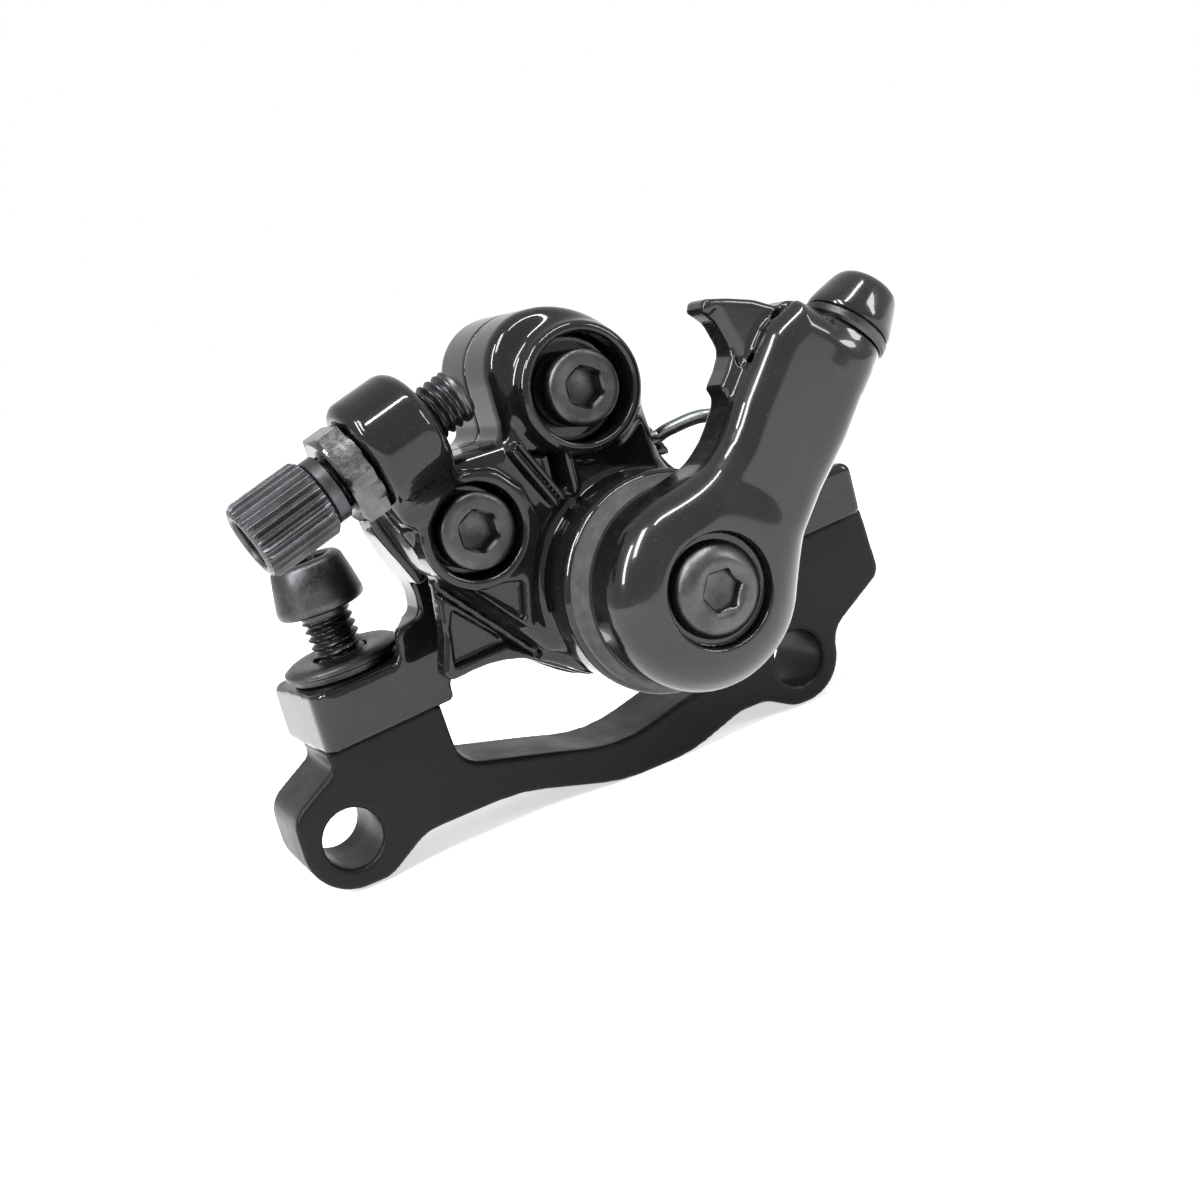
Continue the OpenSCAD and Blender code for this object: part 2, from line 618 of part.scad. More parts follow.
hook = [for (t = [2.2 : -0.55 : 0.5]) coil[0] - [0, t, 0]];
spring_path = concat(hook, coil, leg);
echo("least gap between the spring's turns", (coil_back - coil_front) / spring_turns - spring_wire);

// A smooth curve through the given places, n steps between each two
function smooth(p, n) = [for (i = [0 : len(p) - 2]) for (k = [1 : n])
    let (t = k / n, a = p[max(i - 1, 0)], b = p[i], c = p[i + 1], d = p[min(i + 2, len(p) - 1)])
    0.5 * (2 * b + (c - a) * t + (2 * a - 5 * b + 4 * c - d) * t * t + (3 * b - a - 3 * c + d) * t * t * t)];

// Frames carried along a path without twist, each one [along, across]
function carried(p, i, last) =
    i >= len(p) ? [] :
    let (t = unit(p[min(i + 1, len(p) - 1)] - p[max(i - 1, 0)]),
         u = unit(last - t * (last * t)))
    concat([[t, u]], carried(p, i + 1, u));

// A round tube along a path
module tube(path, r, n = 8) {
    frames = carried(path, 0, [0.3, 0.9, 0.1]);
    m = len(path);
    points = [for (i = [0 : m - 1]) for (k = [0 : n - 1])
        let (t = frames[i][0], u = frames[i][1], w = cross(t, u), a = 360 * k / n)
        path[i] + r * (u * cos(a) + w * sin(a))];
    sides = [for (i = [0 : m - 2]) for (k = [0 : n - 1])
        let (a = i * n + k, b = i * n + (k + 1) % n)
        each [[a, a + n, b], [b, a + n, b + n]]];
    polyhedron(points, concat(sides, [[for (k = [0 : n - 1]) k]],
                              [[for (k = [n - 1 : -1 : 0]) (m - 1) * n + k]]));
}

module return_spring() {
    color([0.35, 0.35, 0.36]) tube(spring_path, spring_wire / 2);
}

module shaft_bushing() {
    color([0.62, 0.50, 0.25]) turned_y([pivot_x, pivot_z], [
        [shaft_r + fit, chamber_front], [bush_r, chamber_front], [bush_r, housing_y - 0.02],
        [bush_r + 0.9, housing_y - 0.02], [bush_r + 0.9, housing_y - 0.7],
            [shaft_r + fit, housing_y - 0.7]]);
}

module thrust_washer() {
    color([0.55, 0.55, 0.56]) ring_y([pivot_x, pivot_z], shaft_r + fit, cam_r - 0.3, thrust_y,
        thrust_y + thrust_t);
}

// Ramp pocket of one ball, deeper at its start than at its end
module ramp(angle, face_y, side, span) {
    for (k = [0 : 4])
        let (a = angle + span * k / 4, depth = ball_bite + 0.06 - ramp_rise * k / 4)
        translate([pivot_x + ball_pitch_r * cos(a), face_y - side * (ball_r - depth),
            pivot_z + ball_pitch_r * sin(a)])
            sphere(r = ball_r + 0.05);
}

// The three ramps of one face; side is the way the pockets are sunk
module ball_ramps(face_y, side) {
    for (k = [0 : 2]) ramp(90 + 120 * k, face_y, side, side * ramp_span);
}

module cam_shaft() {
    color([0.60, 0.60, 0.62]) difference() {
        union() {
            rod_y([pivot_x, pivot_z], cam_r, disc_y, disc_y + disc_t);
            rod_y([pivot_x, pivot_z], shaft_r, arm_back - shaft_grip + 0.05, disc_y + 0.5);
        }
        rod_y([pivot_x, pivot_z], arm_bolt_d / 2 + 0.02, arm_front, arm_front + recess_t + 9.4);
        ball_ramps(disc_y + disc_t, -1);
    }
}

module ball_places() {
    for (k = [0 : 2]) translate([pivot_x + ball_pitch_r * cos(90 + 120 * k), ball_y,
                                 pivot_z + ball_pitch_r * sin(90 + 120 * k)]) children();
}

module cam_balls() {
    color([0.75, 0.75, 0.77]) ball_places() sphere(r = ball_r);
}

module ball_cage() {
    color([0.70, 0.58, 0.32]) difference() {
        ring_y([pivot_x, pivot_z], 3.4, cam_r - 0.2, ball_y - 0.3, ball_y + 0.3);
        ball_places() rotate([90, 0, 0]) cylinder(r = ball_r + 0.06, h = 4, center = true);
    }
}

/* Piston, pads and pad adjuster */

magnet_r = 3;
module piston() {
    color([0.58, 0.58, 0.60]) difference() {
        rod_y([pivot_x, pivot_z], cam_r, piston_y, moving_plate_y - touch);
        ball_ramps(piston_y, 1);
        rod_y([pivot_x, pivot_z], magnet_r + fit, moving_plate_y - 1.55, moving_plate_y + 1);
    }
}

module piston_magnet() {
    color([0.66, 0.66, 0.68]) rod_y([pivot_x, pivot_z], magnet_r, moving_plate_y - 1.5,
        moving_plate_y - touch);
}

module adjuster_magnet() {
    color([0.66, 0.66, 0.68]) rod_y([pivot_x, pivot_z], magnet_r, fixed_plate_back + touch,
        fixed_plate_back + 1.5);
}

module pad_plate(y) {
    rod_y([pivot_x, pivot_z], pad_r, y, y + pad_plate_t);
}

// Friction material, with the groove down its middle facing the rotor
module pad_lining(y, groove_y) {
    difference() {
        rod_y([pivot_x, pivot_z], pad_r - 0.4, y, y + lining_t);
        translate([pivot_x - 0.5, groove_y, pivot_z - pad_r]) cube([1, 1.4, 2 * pad_r]);
    }
}

module moving_pad_plate() {
    color([0.45, 0.36, 0.20]) pad_plate(moving_plate_y);
}

module moving_pad_lining() {
    color([0.28, 0.25, 0.22]) pad_lining(moving_plate_y + pad_plate_t, moving_face - 1);
}

module fixed_pad_plate() {
    color([0.45, 0.36, 0.20]) pad_plate(fixed_plate_y);
}

module fixed_pad_lining() {
    color([0.28, 0.25, 0.22]) pad_lining(fixed_face, fixed_face - 0.4);
}

// Screw that sets the fixed pad, with its hex socket at the back
ring_groove_y = pad_boss_back - 3;
module pad_adjuster() {
    color([0.14, 0.14, 0.15]) difference() {
        turned_y([pivot_x, pivot_z], [[0, fixed_plate_back + touch], [adjuster_r, fixed_plate_back + touch],
            [adjuster_r, ring_groove_y - 0.8], [adjuster_r - 0.9, ring_groove_y - 0.8],
            [adjuster_r - 0.9, ring_groove_y + 0.8], [adjuster_r, ring_groove_y + 0.8],
            [adjuster_r, pad_boss_back - 1], [adjuster_r - 0.5, pad_boss_back - 0.5],
                [0, pad_boss_back - 0.5]]);
        rod_y([pivot_x, pivot_z], magnet_r + fit, fixed_plate_back - 1, fixed_plate_back + 1.55);
        translate([pivot_x, pad_boss_back, pivot_z]) rotate([90, 0, 0])
            cylinder(d = 5 / cos(30), h = 4, $fn = 6);
    }
}

module adjuster_ring() {
    color([0.05, 0.05, 0.05]) translate([pivot_x, ring_groove_y, pivot_z]) rotate([90, 0, 0])
        rotate_extrude() translate([adjuster_r - 0.42, 0]) circle(r = 0.42, $fn = 24);
}

/* Cable adjuster */

nut_end = -0.1;
collar_end = nut_end - nut_t - 0.45;
knurl_end = collar_end - collar_t - 0.03;
knurl_r = barrel_r - 0.35;
thread_end = stop_len + 5.2;
module barrel_adjuster() {
    color([0.10, 0.10, 0.11]) at_barrel() difference() {
        union() {
            rotate_extrude() polygon([[0, knurl_end - barrel_len], [knurl_r - 0.55, knurl_end - barrel_len],
                [knurl_r, knurl_end - barrel_len + 0.55], [knurl_r, knurl_end - 0.55],
                [knurl_r - 0.55, knurl_end], [barrel_thread_d / 2, knurl_end],
                [barrel_thread_d / 2, thread_end - 0.5], [barrel_thread_d / 2 - 0.5, thread_end],
                    [0, thread_end]]);
            for (k = [0 : barrel_ribs - 1]) rotate([0, 0, 360 * (k + 0.5) / barrel_ribs])
                translate([knurl_r - 0.4, -0.33, knurl_end - barrel_len + 0.73])
                    cube([0.75, 0.66, barrel_len - 1.46]);
        }
        translate([0, 0, knurl_end - barrel_len - 1]) cylinder(r = 2.75, h = barrel_len - 1.3);
        translate([0, 0, knurl_end - barrel_len - 1.7]) cylinder(r = 1.2, h = thread_end + barrel_len + 9);
    }
}

module barrel_collar() {
    color([0.09, 0.09, 0.10]) at_barrel() translate([0, 0, collar_end - collar_t]) difference() {
        cylinder(r = 3.7, h = collar_t);
        translate([0, 0, -1]) cylinder(r = barrel_thread_d / 2 + fit, h = collar_t + 2);
    }
}

module barrel_lock_nut() {
    color([0.12, 0.12, 0.13]) at_barrel() translate([0, 0, nut_end - nut_t]) difference() {
        intersection() {
            rotate([0, 0, 30]) cylinder(d = nut_af / cos(30), h = nut_t, $fn = 6);
            rotate_extrude() polygon([[0, 0], [nut_af / 2, 0], [nut_af / 2 + 0.8, 0.5],
                                      [nut_af / 2 + 0.8, nut_t - 0.5], [nut_af / 2, nut_t], [0, nut_t]]);
        }
        translate([0, 0, -1]) cylinder(r = barrel_thread_d / 2 + fit, h = nut_t + 2);
    }
}

bracket();
rear_body();
front_body();
mount_bolt_left();
mount_bolt_right();
mount_washers();
body_screws();
arm();
arm_bolt();
dust_seal();
return_spring();
shaft_bushing();
thrust_washer();
cam_shaft();
cam_balls();
ball_cage();
piston();
piston_magnet();
moving_pad_plate();
moving_pad_lining();
fixed_pad_plate();
fixed_pad_lining();
adjuster_magnet();
pad_adjuster();
adjuster_ring();
barrel_adjuster();
barrel_collar();
barrel_lock_nut();
pinch_bolt();
pinch_washer();
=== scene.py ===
"""Looks of the brake caliper: enamelled castings, blackened screws, turned steel and friction pads.

Lengths in the shape functions are millimetres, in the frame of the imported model. A mesh is scaled to metres
when it is made.
"""

import math

import bmesh
import bpy
import numpy as np
import openvdb
from mathutils import Matrix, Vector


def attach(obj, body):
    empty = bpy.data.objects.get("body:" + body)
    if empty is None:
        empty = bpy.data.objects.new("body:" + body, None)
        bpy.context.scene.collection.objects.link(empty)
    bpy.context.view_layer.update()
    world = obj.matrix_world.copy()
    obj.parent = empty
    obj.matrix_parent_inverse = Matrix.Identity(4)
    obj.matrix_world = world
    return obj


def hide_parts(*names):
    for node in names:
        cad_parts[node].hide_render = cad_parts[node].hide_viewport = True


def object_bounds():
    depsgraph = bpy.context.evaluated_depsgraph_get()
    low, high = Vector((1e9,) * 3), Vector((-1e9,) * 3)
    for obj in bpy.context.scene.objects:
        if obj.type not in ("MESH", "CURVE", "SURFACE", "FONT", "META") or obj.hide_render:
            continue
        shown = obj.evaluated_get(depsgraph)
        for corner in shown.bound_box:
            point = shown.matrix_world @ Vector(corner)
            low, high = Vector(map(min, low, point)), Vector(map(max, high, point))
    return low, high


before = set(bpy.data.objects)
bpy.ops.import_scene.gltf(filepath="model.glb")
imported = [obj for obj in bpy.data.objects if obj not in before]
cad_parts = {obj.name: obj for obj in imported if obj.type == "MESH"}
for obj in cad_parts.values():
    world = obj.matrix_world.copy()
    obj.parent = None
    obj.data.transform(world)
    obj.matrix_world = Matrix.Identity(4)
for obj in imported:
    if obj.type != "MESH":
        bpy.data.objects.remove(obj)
cad_box = [list(corner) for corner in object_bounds()]

MM = 0.001

# Places in the front view: x, or x and z
PIVOT = (6.8, 20.0)
UPPER_SCREW, LOWER_SCREW = (4.6, 42.8), (-11.6, 31.6)
HUB = (10.9575, -39.4548)
LEFT_X, RIGHT_X = -24.1245, 37.7245
FRAME_HOLE_X = 31

# Depths along the axle, y: the side that the photograph shows is the low one
ARM_FRONT, ARM_BACK = -30.5, -22.5
HOUSING_Y, TOWER_Y, LOBE_Y = -19.5, -15.5, -13.5
CAM_BORE_FRONT, SHAFT_BORE_BACK, PISTON_BORE_FRONT, CAM_BORE_BACK = -17.9, -16.9, -10.9, -9.8
SCREW_SEAT_Y = -11.0
SLOT_FRONT, SEAM, SLOT_BACK = -8.5, -5.5, -2.5
REAR_BACK, PAD_BOSS_BACK, EAR_BACK = 4.0, 9.0, 14.0
BOLT_Y = 6.0

# Sizes
ROTOR_SPACE_R = 71.2
PISTON_BORE_R, CAM_BORE_R, SHAFT_BORE_R, FRAME_HOLE_R = 10.7, 9.6, 6.25, 3.6
EAR_H, EAR_DRAFT, EAR_SLOT_PLAY, EAR_SEAT_R, EAR_HOLE_R = 7.0, 0.075, 1.5, 7.5, 3.3
PLATE_T, POST_HALF, SEAT_Z = 12, 7.5, 13.3
ARM_LEN, WASHER_T, LEFT_LIFT = 32.0, 2.0, 5.6
SPRING_ROOM, SPRING_GAP, WIRE_R = 3.4, 0.15, 0.8

# Slanted ways
SEAT_TILT, BARREL_TILT, ARM_TILT = math.radians(4), math.radians(18), math.radians(41)
BOLT_WAY = np.array([-math.sin(SEAT_TILT), 0, math.cos(SEAT_TILT)])
BARREL_WAY = np.array([math.cos(BARREL_TILT), 0, math.sin(BARREL_TILT)])
ARM_WAY = np.array([math.cos(ARM_TILT), 0, math.sin(ARM_TILT)])
ARM_UP = np.array([-math.sin(ARM_TILT), 0, math.cos(ARM_TILT)])
STOP_AT = np.array([-21.3, -14.0, 41.9])
CLAMP_AT = np.array([PIVOT[0], ARM_FRONT + 5.4, PIVOT[1]]) - 0.7 * ARM_UP

# The photograph's width and focal length in pixels, and the camera's sensor in mm
PHOTO_WIDE, FOCAL_PIXELS, SENSOR_WIDE = 1200, 1565.9, 36


def seat(x):
    """Height of the sloping post tops at x."""
    return SEAT_Z + (x - PIVOT[0]) * math.tan(SEAT_TILT)


def bolt_seat(x):
    """Middle of the post top at x."""
    return np.array([x, BOLT_Y, seat(x)])


def stand(holder, right, up, back, place):
    """Places a camera or lamp by its three axes. It looks against the third."""
    rows = [[right[i], up[i], back[i], place[i]] for i in range(3)]
    holder.matrix_world = Matrix(rows + [[0, 0, 0, 1]])


# Camera

def set_camera():
    """The photograph's view, solved from its edges: lens, place and the three axes of the view."""
    camera = bpy.data.cameras.new("photo_view")
    camera.sensor_width = SENSOR_WIDE
    camera.lens = FOCAL_PIXELS / PHOTO_WIDE * SENSOR_WIDE
    camera.clip_start = 0.005
    camera.clip_end = 20
    holder = bpy.data.objects.new("photo_view", camera)
    bpy.context.scene.collection.objects.link(holder)
    right = (0.87027, -0.41901, -0.25895)
    up = (0.32125, 0.08432, 0.94323)
    back = (-0.37339, -0.90406, 0.20799)
    place = (-64.7 * MM, -171.7 * MM, 55.9 * MM)
    stand(holder, right, up, back, place)
    bpy.context.scene.camera = holder


set_camera()
bpy.context.scene.view_settings.view_transform = "Standard"


# Shader maths

class Value:
    """A shader socket with the usual operators. An expression on values adds its Math nodes."""

    def __init__(self, sheet, socket):
        self.sheet, self.socket = sheet, socket

    def _with(self, operation, *others):
        return self.sheet.node("ShaderNodeMath", {"operation": operation}, *((self,) + others))

    def __add__(self, other):
        return self._with("ADD", other)

    def __mul__(self, other):
        return self._with("MULTIPLY", other)

    def __sub__(self, other):
        return self._with("SUBTRACT", other)

    def __rsub__(self, other):
        return self.sheet.node("ShaderNodeMath", {"operation": "SUBTRACT"}, other, self)

    def __pow__(self, other):
        return self._with("POWER", other)

    def sine(self):
        return self._with("SINE")

    def most(self, other):
        return self._with("MAXIMUM", other)


class Sheet:
    """One material's node tree, with a Principled shader at its end."""

    def __init__(self, name, **constants):
        self.material = bpy.data.materials.new(name)
        self.material.use_nodes = True
        self.tree = self.material.node_tree
        self.tree.nodes.clear()
        self.shader = self.tree.nodes.new("ShaderNodeBsdfPrincipled")
        end = self.tree.nodes.new("ShaderNodeOutputMaterial")
        self.tree.links.new(self.shader.outputs[0], end.inputs[0])
        for socket, value in constants.items():
            self.shader.inputs[socket.replace("_", " ")].default_value = value
        self.place = self.node("ShaderNodeTexCoord", {}, out="Object")

    def put(self, socket, value):
        """Sets a socket to a number or colour, or links a value to it."""
        if isinstance(value, Value):
            self.tree.links.new(value.socket, socket)
        elif isinstance(value, tuple) and len(value) == 3 and socket.type == "RGBA":
            socket.default_value = value + (1,)
        else:
            socket.default_value = value

    def node(self, kind, settings, *inputs, out=0, **named):
        """Adds a node: its settings first, then the values or links of its sockets."""
        made = self.tree.nodes.new(kind)
        for key, value in settings.items():
            if key == "stops":
                while len(made.color_ramp.elements) < len(value):
                    made.color_ramp.elements.new(0.5)
                for element, (position, colour) in zip(made.color_ramp.elements, value):
                    element.position = position
                    element.color = tuple(colour) + (1,) if len(colour) == 3 else colour
            else:
                setattr(made, key, value)
        for socket, value in zip(made.inputs, inputs):
            self.put(socket, value)
        for key, value in named.items():
            self.put(made.inputs[key.replace("_", " ")], value)
        return Value(self, made.outputs[out])

    def noise(self, scale, detail=2.0, roughness=0.5, stretch=None):
        """Noise with features of about `scale` mm, drawn out along the axes by stretch."""
        where = self.place
        if stretch:
            where = self.node("ShaderNodeMapping", {}, self.place, Scale=tuple(1 / s for s in stretch))
        return self.node("ShaderNodeTexNoise", {"normalize": True}, out="Fac", Vector=where,
                         Scale=1 / (scale * MM), Detail=detail, Roughness=roughness)

    def cells(self, scale):
        """Distance to the nearest of points scattered about `scale` mm apart."""
        return self.node("ShaderNodeTexVoronoi", {"feature": "F1"}, out="Distance",
                         Vector=self.place, Scale=1 / (scale * MM))

    def spread(self, value, low, high, to_low=0.0, to_high=1.0):
        """Carries low..high to to_low..to_high, and holds the ends."""
        return self.node("ShaderNodeMapRange", {"clamp": True}, value, low, high, to_low, to_high)

    def tint(self, mask, first, second):
        """Colour between first and second by the mask."""
        made = self.tree.nodes.new("ShaderNodeMix")
        made.data_type = "RGBA"
        self.put(made.inputs[0], mask)
        self.put(made.inputs[6], first)
        self.put(made.inputs[7], second)
        return Value(self, made.outputs[2])

    def bumped(self, height, depth):
        """Normal of a surface raised by height, 0 to 1, times depth in mm."""
        return self.node("ShaderNodeBump", {}, Height=height, Distance=depth * MM, Strength=1.0)

    def finish(self, **linked):
        """Links what varies to the shader's own sockets."""
        for socket, value in linked.items():
            self.put(self.shader.inputs[socket.replace("_", " ")], value)
        return self.material


def enamel(name, base, roughness, coat, orange_peel, shine):
    """Black paint baked on a casting: soft orange peel, faint dust and small pinholes, under clear gloss."""
    sheet = Sheet(name, Metallic=0.0, Coat_Weight=coat, Coat_Roughness=0.04, Specular_IOR_Level=shine,
                  IOR=1.5)
    peel = sheet.noise(0.9, 2.0, 0.45)
    slow = sheet.noise(6.0, 3.0, 0.5)
    pits = sheet.spread(sheet.cells(0.9), 0.05, 0.16, 0.0, 1.0)
    dust = sheet.spread(sheet.noise(0.22, 1.0), 0.70, 0.80)
    height = peel * orange_peel + slow * 0.8 + pits * 0.12
    colour = sheet.tint(sheet.spread(slow, 0.3, 0.75), base, tuple(c * 1.5 + 0.001 for c in base))
    colour = sheet.tint(dust * 0.10, colour, (0.30, 0.30, 0.31))
    matt = sheet.spread(slow, 0.3, 0.7, roughness, roughness * 1.5) + dust * 0.15
    return sheet.finish(Base_Color=colour, Roughness=matt, Normal=sheet.bumped(height, 0.010))


def blackened(name, base, roughness, grain=0.35):
    """Blackened steel: fine mottling, a satin sheen and light scuffs where fingers and keys touch."""
    sheet = Sheet(name, Specular_IOR_Level=0.4)
    fine = sheet.noise(grain, 4.0, 0.6)
    slow = sheet.noise(3.0, 3.0, 0.6)
    scuffs = sheet.spread(sheet.noise(0.5, 5.0, 0.7, stretch=(0.35, 1.0, 3.0)), 0.60, 0.72)
    colour = sheet.tint(sheet.spread(slow, 0.35, 0.7), base, tuple(c * 1.7 + 0.004 for c in base))
    colour = sheet.tint(scuffs * 0.35, colour, (0.22, 0.22, 0.225))
    return sheet.finish(Base_Color=colour, Metallic=1.0,
                        Roughness=sheet.spread(fine, 0.3, 0.75, roughness, roughness + 0.18),
                        Normal=sheet.bumped(fine + slow * 0.5, 0.008))


def turned_metal(name, base, roughness, pitch=0.12, tarnish=(0.5, 0.5, 0.5)):
    """Turned metal: rings of the cutting tool round the pivot, with a light tarnish."""
    sheet = Sheet(name, Metallic=1.0)
    axes = sheet.node("ShaderNodeSeparateXYZ", {}, sheet.place, out="X")
    split = axes.socket.node
    across = Value(sheet, split.outputs["X"]) - PIVOT[0] * MM
    up = Value(sheet, split.outputs["Z"]) - PIVOT[1] * MM
    radius = (across * across + up * up) ** 0.5
    rings = (radius * (2 * math.pi / (pitch * MM))).sine() * 0.5 + 0.5
    wander = sheet.noise(2.0, 3.0, 0.6)
    stain = sheet.spread(wander, 0.45, 0.8)
    colour = sheet.tint(stain * 0.5, base, tuple(b * t for b, t in zip(base, tarnish)))
    matt = sheet.spread(wander, 0.3, 0.7, roughness, roughness * 1.6)
    return sheet.finish(Base_Color=colour, Roughness=matt,
                        Normal=sheet.bumped(rings * 0.6 + sheet.noise(0.15, 2.0) * 0.6, 0.0035))


def drawn_wire(name, base):
    """Drawn spring wire: fine streaks along it, thinly oiled, with dark flecks."""
    sheet = Sheet(name, Metallic=1.0)
    streaks = sheet.noise(0.12, 3.0, 0.6, stretch=(2.0, 1.0, 2.0))
    flecks = sheet.spread(sheet.noise(0.5, 4.0, 0.7), 0.55, 0.75)
    colour = sheet.tint(flecks, base, tuple(b * 0.35 for b in base))
    return sheet.finish(Base_Color=colour, Roughness=sheet.spread(streaks, 0.3, 0.7, 0.26, 0.45),
                        Normal=sheet.bumped(streaks, 0.006))


def rubber(name, base):
    """Moulded rubber: fine matt skin, bloom in patches."""
    sheet = Sheet(name, Metallic=0.0, Specular_IOR_Level=0.3, Sheen_Weight=0.1)
    skin = sheet.noise(0.12, 3.0, 0.6)
    bloom = sheet.spread(sheet.noise(1.8, 4.0, 0.6), 0.45, 0.8)
    colour = sheet.tint(bloom * 0.5, base, (0.07, 0.07, 0.072))
    return sheet.finish(Base_Color=colour, Roughness=sheet.spread(skin, 0.2, 0.8, 0.55, 0.8),
                        Normal=sheet.bumped(skin, 0.015))


def friction(name):
    """Pad lining: resin with dark graphite, pale fibres and brass chips."""
    sheet = Sheet(name, Specular_IOR_Level=0.35)
    grain = sheet.noise(0.25, 4.0, 0.7)
    chips = sheet.spread(sheet.cells(0.55), 0.10, 0.16, 1.0, 0.0)
    fibres = sheet.spread(sheet.noise(0.3, 3.0, 0.5, stretch=(3.0, 1.0, 0.4)), 0.63, 0.70)
    colour = sheet.tint(sheet.spread(grain, 0.3, 0.75), (0.035, 0.031, 0.028), (0.115, 0.10, 0.088))
    colour = sheet.tint(fibres * 0.6, colour, (0.33, 0.31, 0.28))
    colour = sheet.tint(chips, colour, (0.50, 0.33, 0.12))
    return sheet.finish(Base_Color=colour, Metallic=chips * 0.9, Roughness=0.85 - chips * 0.5,
                        Normal=sheet.bumped(grain + chips * 0.3, 0.04))


def coated_plate(name):
    """Pad back plate: copper coloured coating, brushed, with darker pressing marks."""
    sheet = Sheet(name, Metallic=1.0)
    brush = sheet.noise(0.10, 3.0, 0.6, stretch=(6.0, 1.0, 0.6))
    marks = sheet.spread(sheet.noise(2.4, 4.0, 0.6), 0.5, 0.75)
    colour = sheet.tint(marks * 0.6, (0.45, 0.30, 0.14), (0.22, 0.15, 0.08))
    return sheet.finish(Base_Color=colour, Roughness=sheet.spread(brush, 0.3, 0.7, 0.30, 0.5),
                        Normal=sheet.bumped(brush, 0.006))


GLOSS = enamel("gloss_black_enamel", (0.0034, 0.0034, 0.0039), 0.18, 0.52, 0.5, 0.12)
CAST = enamel("deep_black_enamel", (0.0032, 0.0033, 0.0037), 0.18, 0.52, 0.5, 0.04)
SATIN = enamel("satin_black_enamel", (0.0032, 0.0033, 0.0040), 0.34, 0.05, 0.9, 0.10)
OXIDE = blackened("blackened_steel", (0.035, 0.035, 0.037), 0.30)
OXIDE_DULL = blackened("blackened_threads", (0.025, 0.025, 0.026), 0.38)
KNURL = blackened("dark_anodised_knurl", (0.042, 0.042, 0.045), 0.30, grain=0.2)
NICKEL = blackened("dark_nickel", (0.042, 0.041, 0.041), 0.27, grain=0.25)
BRIGHT_NUT = blackened("bright_dark_nut", (0.06, 0.06, 0.062), 0.14, grain=0.6)
WIRE = drawn_wire("drawn_spring_wire", (0.13, 0.14, 0.13))
RUBBER = rubber("black_rubber", (0.018, 0.018, 0.018))
STEEL = turned_metal("turned_steel", (0.56, 0.56, 0.57), 0.22)
BRONZE = turned_metal("sintered_bronze", (0.50, 0.33, 0.15), 0.32, tarnish=(0.5, 0.42, 0.35))
BALL = turned_metal("bearing_steel", (0.72, 0.72, 0.74), 0.06, pitch=5.0, tarnish=(0.9, 0.9, 0.9))
MAGNET = turned_metal("nickel_plate", (0.58, 0.56, 0.52), 0.14, pitch=0.4, tarnish=(0.7, 0.7, 0.66))
PAD_PLATE = coated_plate("coated_pad_plate")
LINING = friction("friction_lining")


# Meshes


def make_piece(name, points, faces, material, body, stands_for=(), crease=None):
    """Puts points in mm and equal-sized faces into a mesh object that rides on a body."""
    faces = np.asarray(faces, np.int32)
    points = np.asarray(points, np.float64)
    a, b, c = (points[faces[:, k]] for k in range(3))
    volume = (a * np.cross(b, c)).sum()
    if faces.shape[1] == 4:
        d = points[faces[:, 3]]
        volume += (a * np.cross(c, d)).sum()
    if volume < 0:
        faces = faces[:, ::-1]
    mesh = bpy.data.meshes.new(name)
    mesh.vertices.add(len(points))
    mesh.vertices.foreach_set("co", (points * MM).astype(np.float32).ravel())
    mesh.loops.add(faces.size)
    mesh.loops.foreach_set("vertex_index", np.ascontiguousarray(faces).ravel())
    mesh.polygons.add(len(faces))
    mesh.polygons.foreach_set("loop_start", np.arange(0, faces.size, faces.shape[1], dtype=np.int32))
    mesh.polygons.foreach_set("use_smooth", np.ones(len(faces), bool))
    mesh.update(calc_edges=True)
    if crease is not None:
        work = bmesh.new()
        work.from_mesh(mesh)
        bmesh.ops.remove_doubles(work, verts=work.verts, dist=2e-7)
        bmesh.ops.dissolve_degenerate(work, edges=work.edges, dist=1e-8)
        work.to_mesh(mesh)
        work.free()
        mesh.set_sharp_from_angle(angle=math.radians(crease))
    mesh.materials.append(material)
    piece = bpy.data.objects.new(name, mesh)
    bpy.context.scene.collection.objects.link(piece)
    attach(piece, body)
    if stands_for:
        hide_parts(*stands_for)
    return piece


def row(height, radius, hexness=0.0, rib=0.0, groove=0.0):
    """One row of a turned shape."""
    return (height, radius, hexness, rib, groove)


THREAD_FADE, ROWS_A_TURN, TURN_RISE = 0.8, 10, 1.0


def thread_rows(low, high, radius, depth, pitch):
    """Rows of a threaded length, fine enough to follow the thread, which fades out at both ends."""
    heights = np.linspace(low, high, int((high - low) / pitch * ROWS_A_TURN) + 2)
    fading = np.clip(np.minimum(heights - low, high - heights) / THREAD_FADE, 0, 1)
    return [row(h, radius, 0, 0, depth * f) for h, f in zip(heights, fading)]


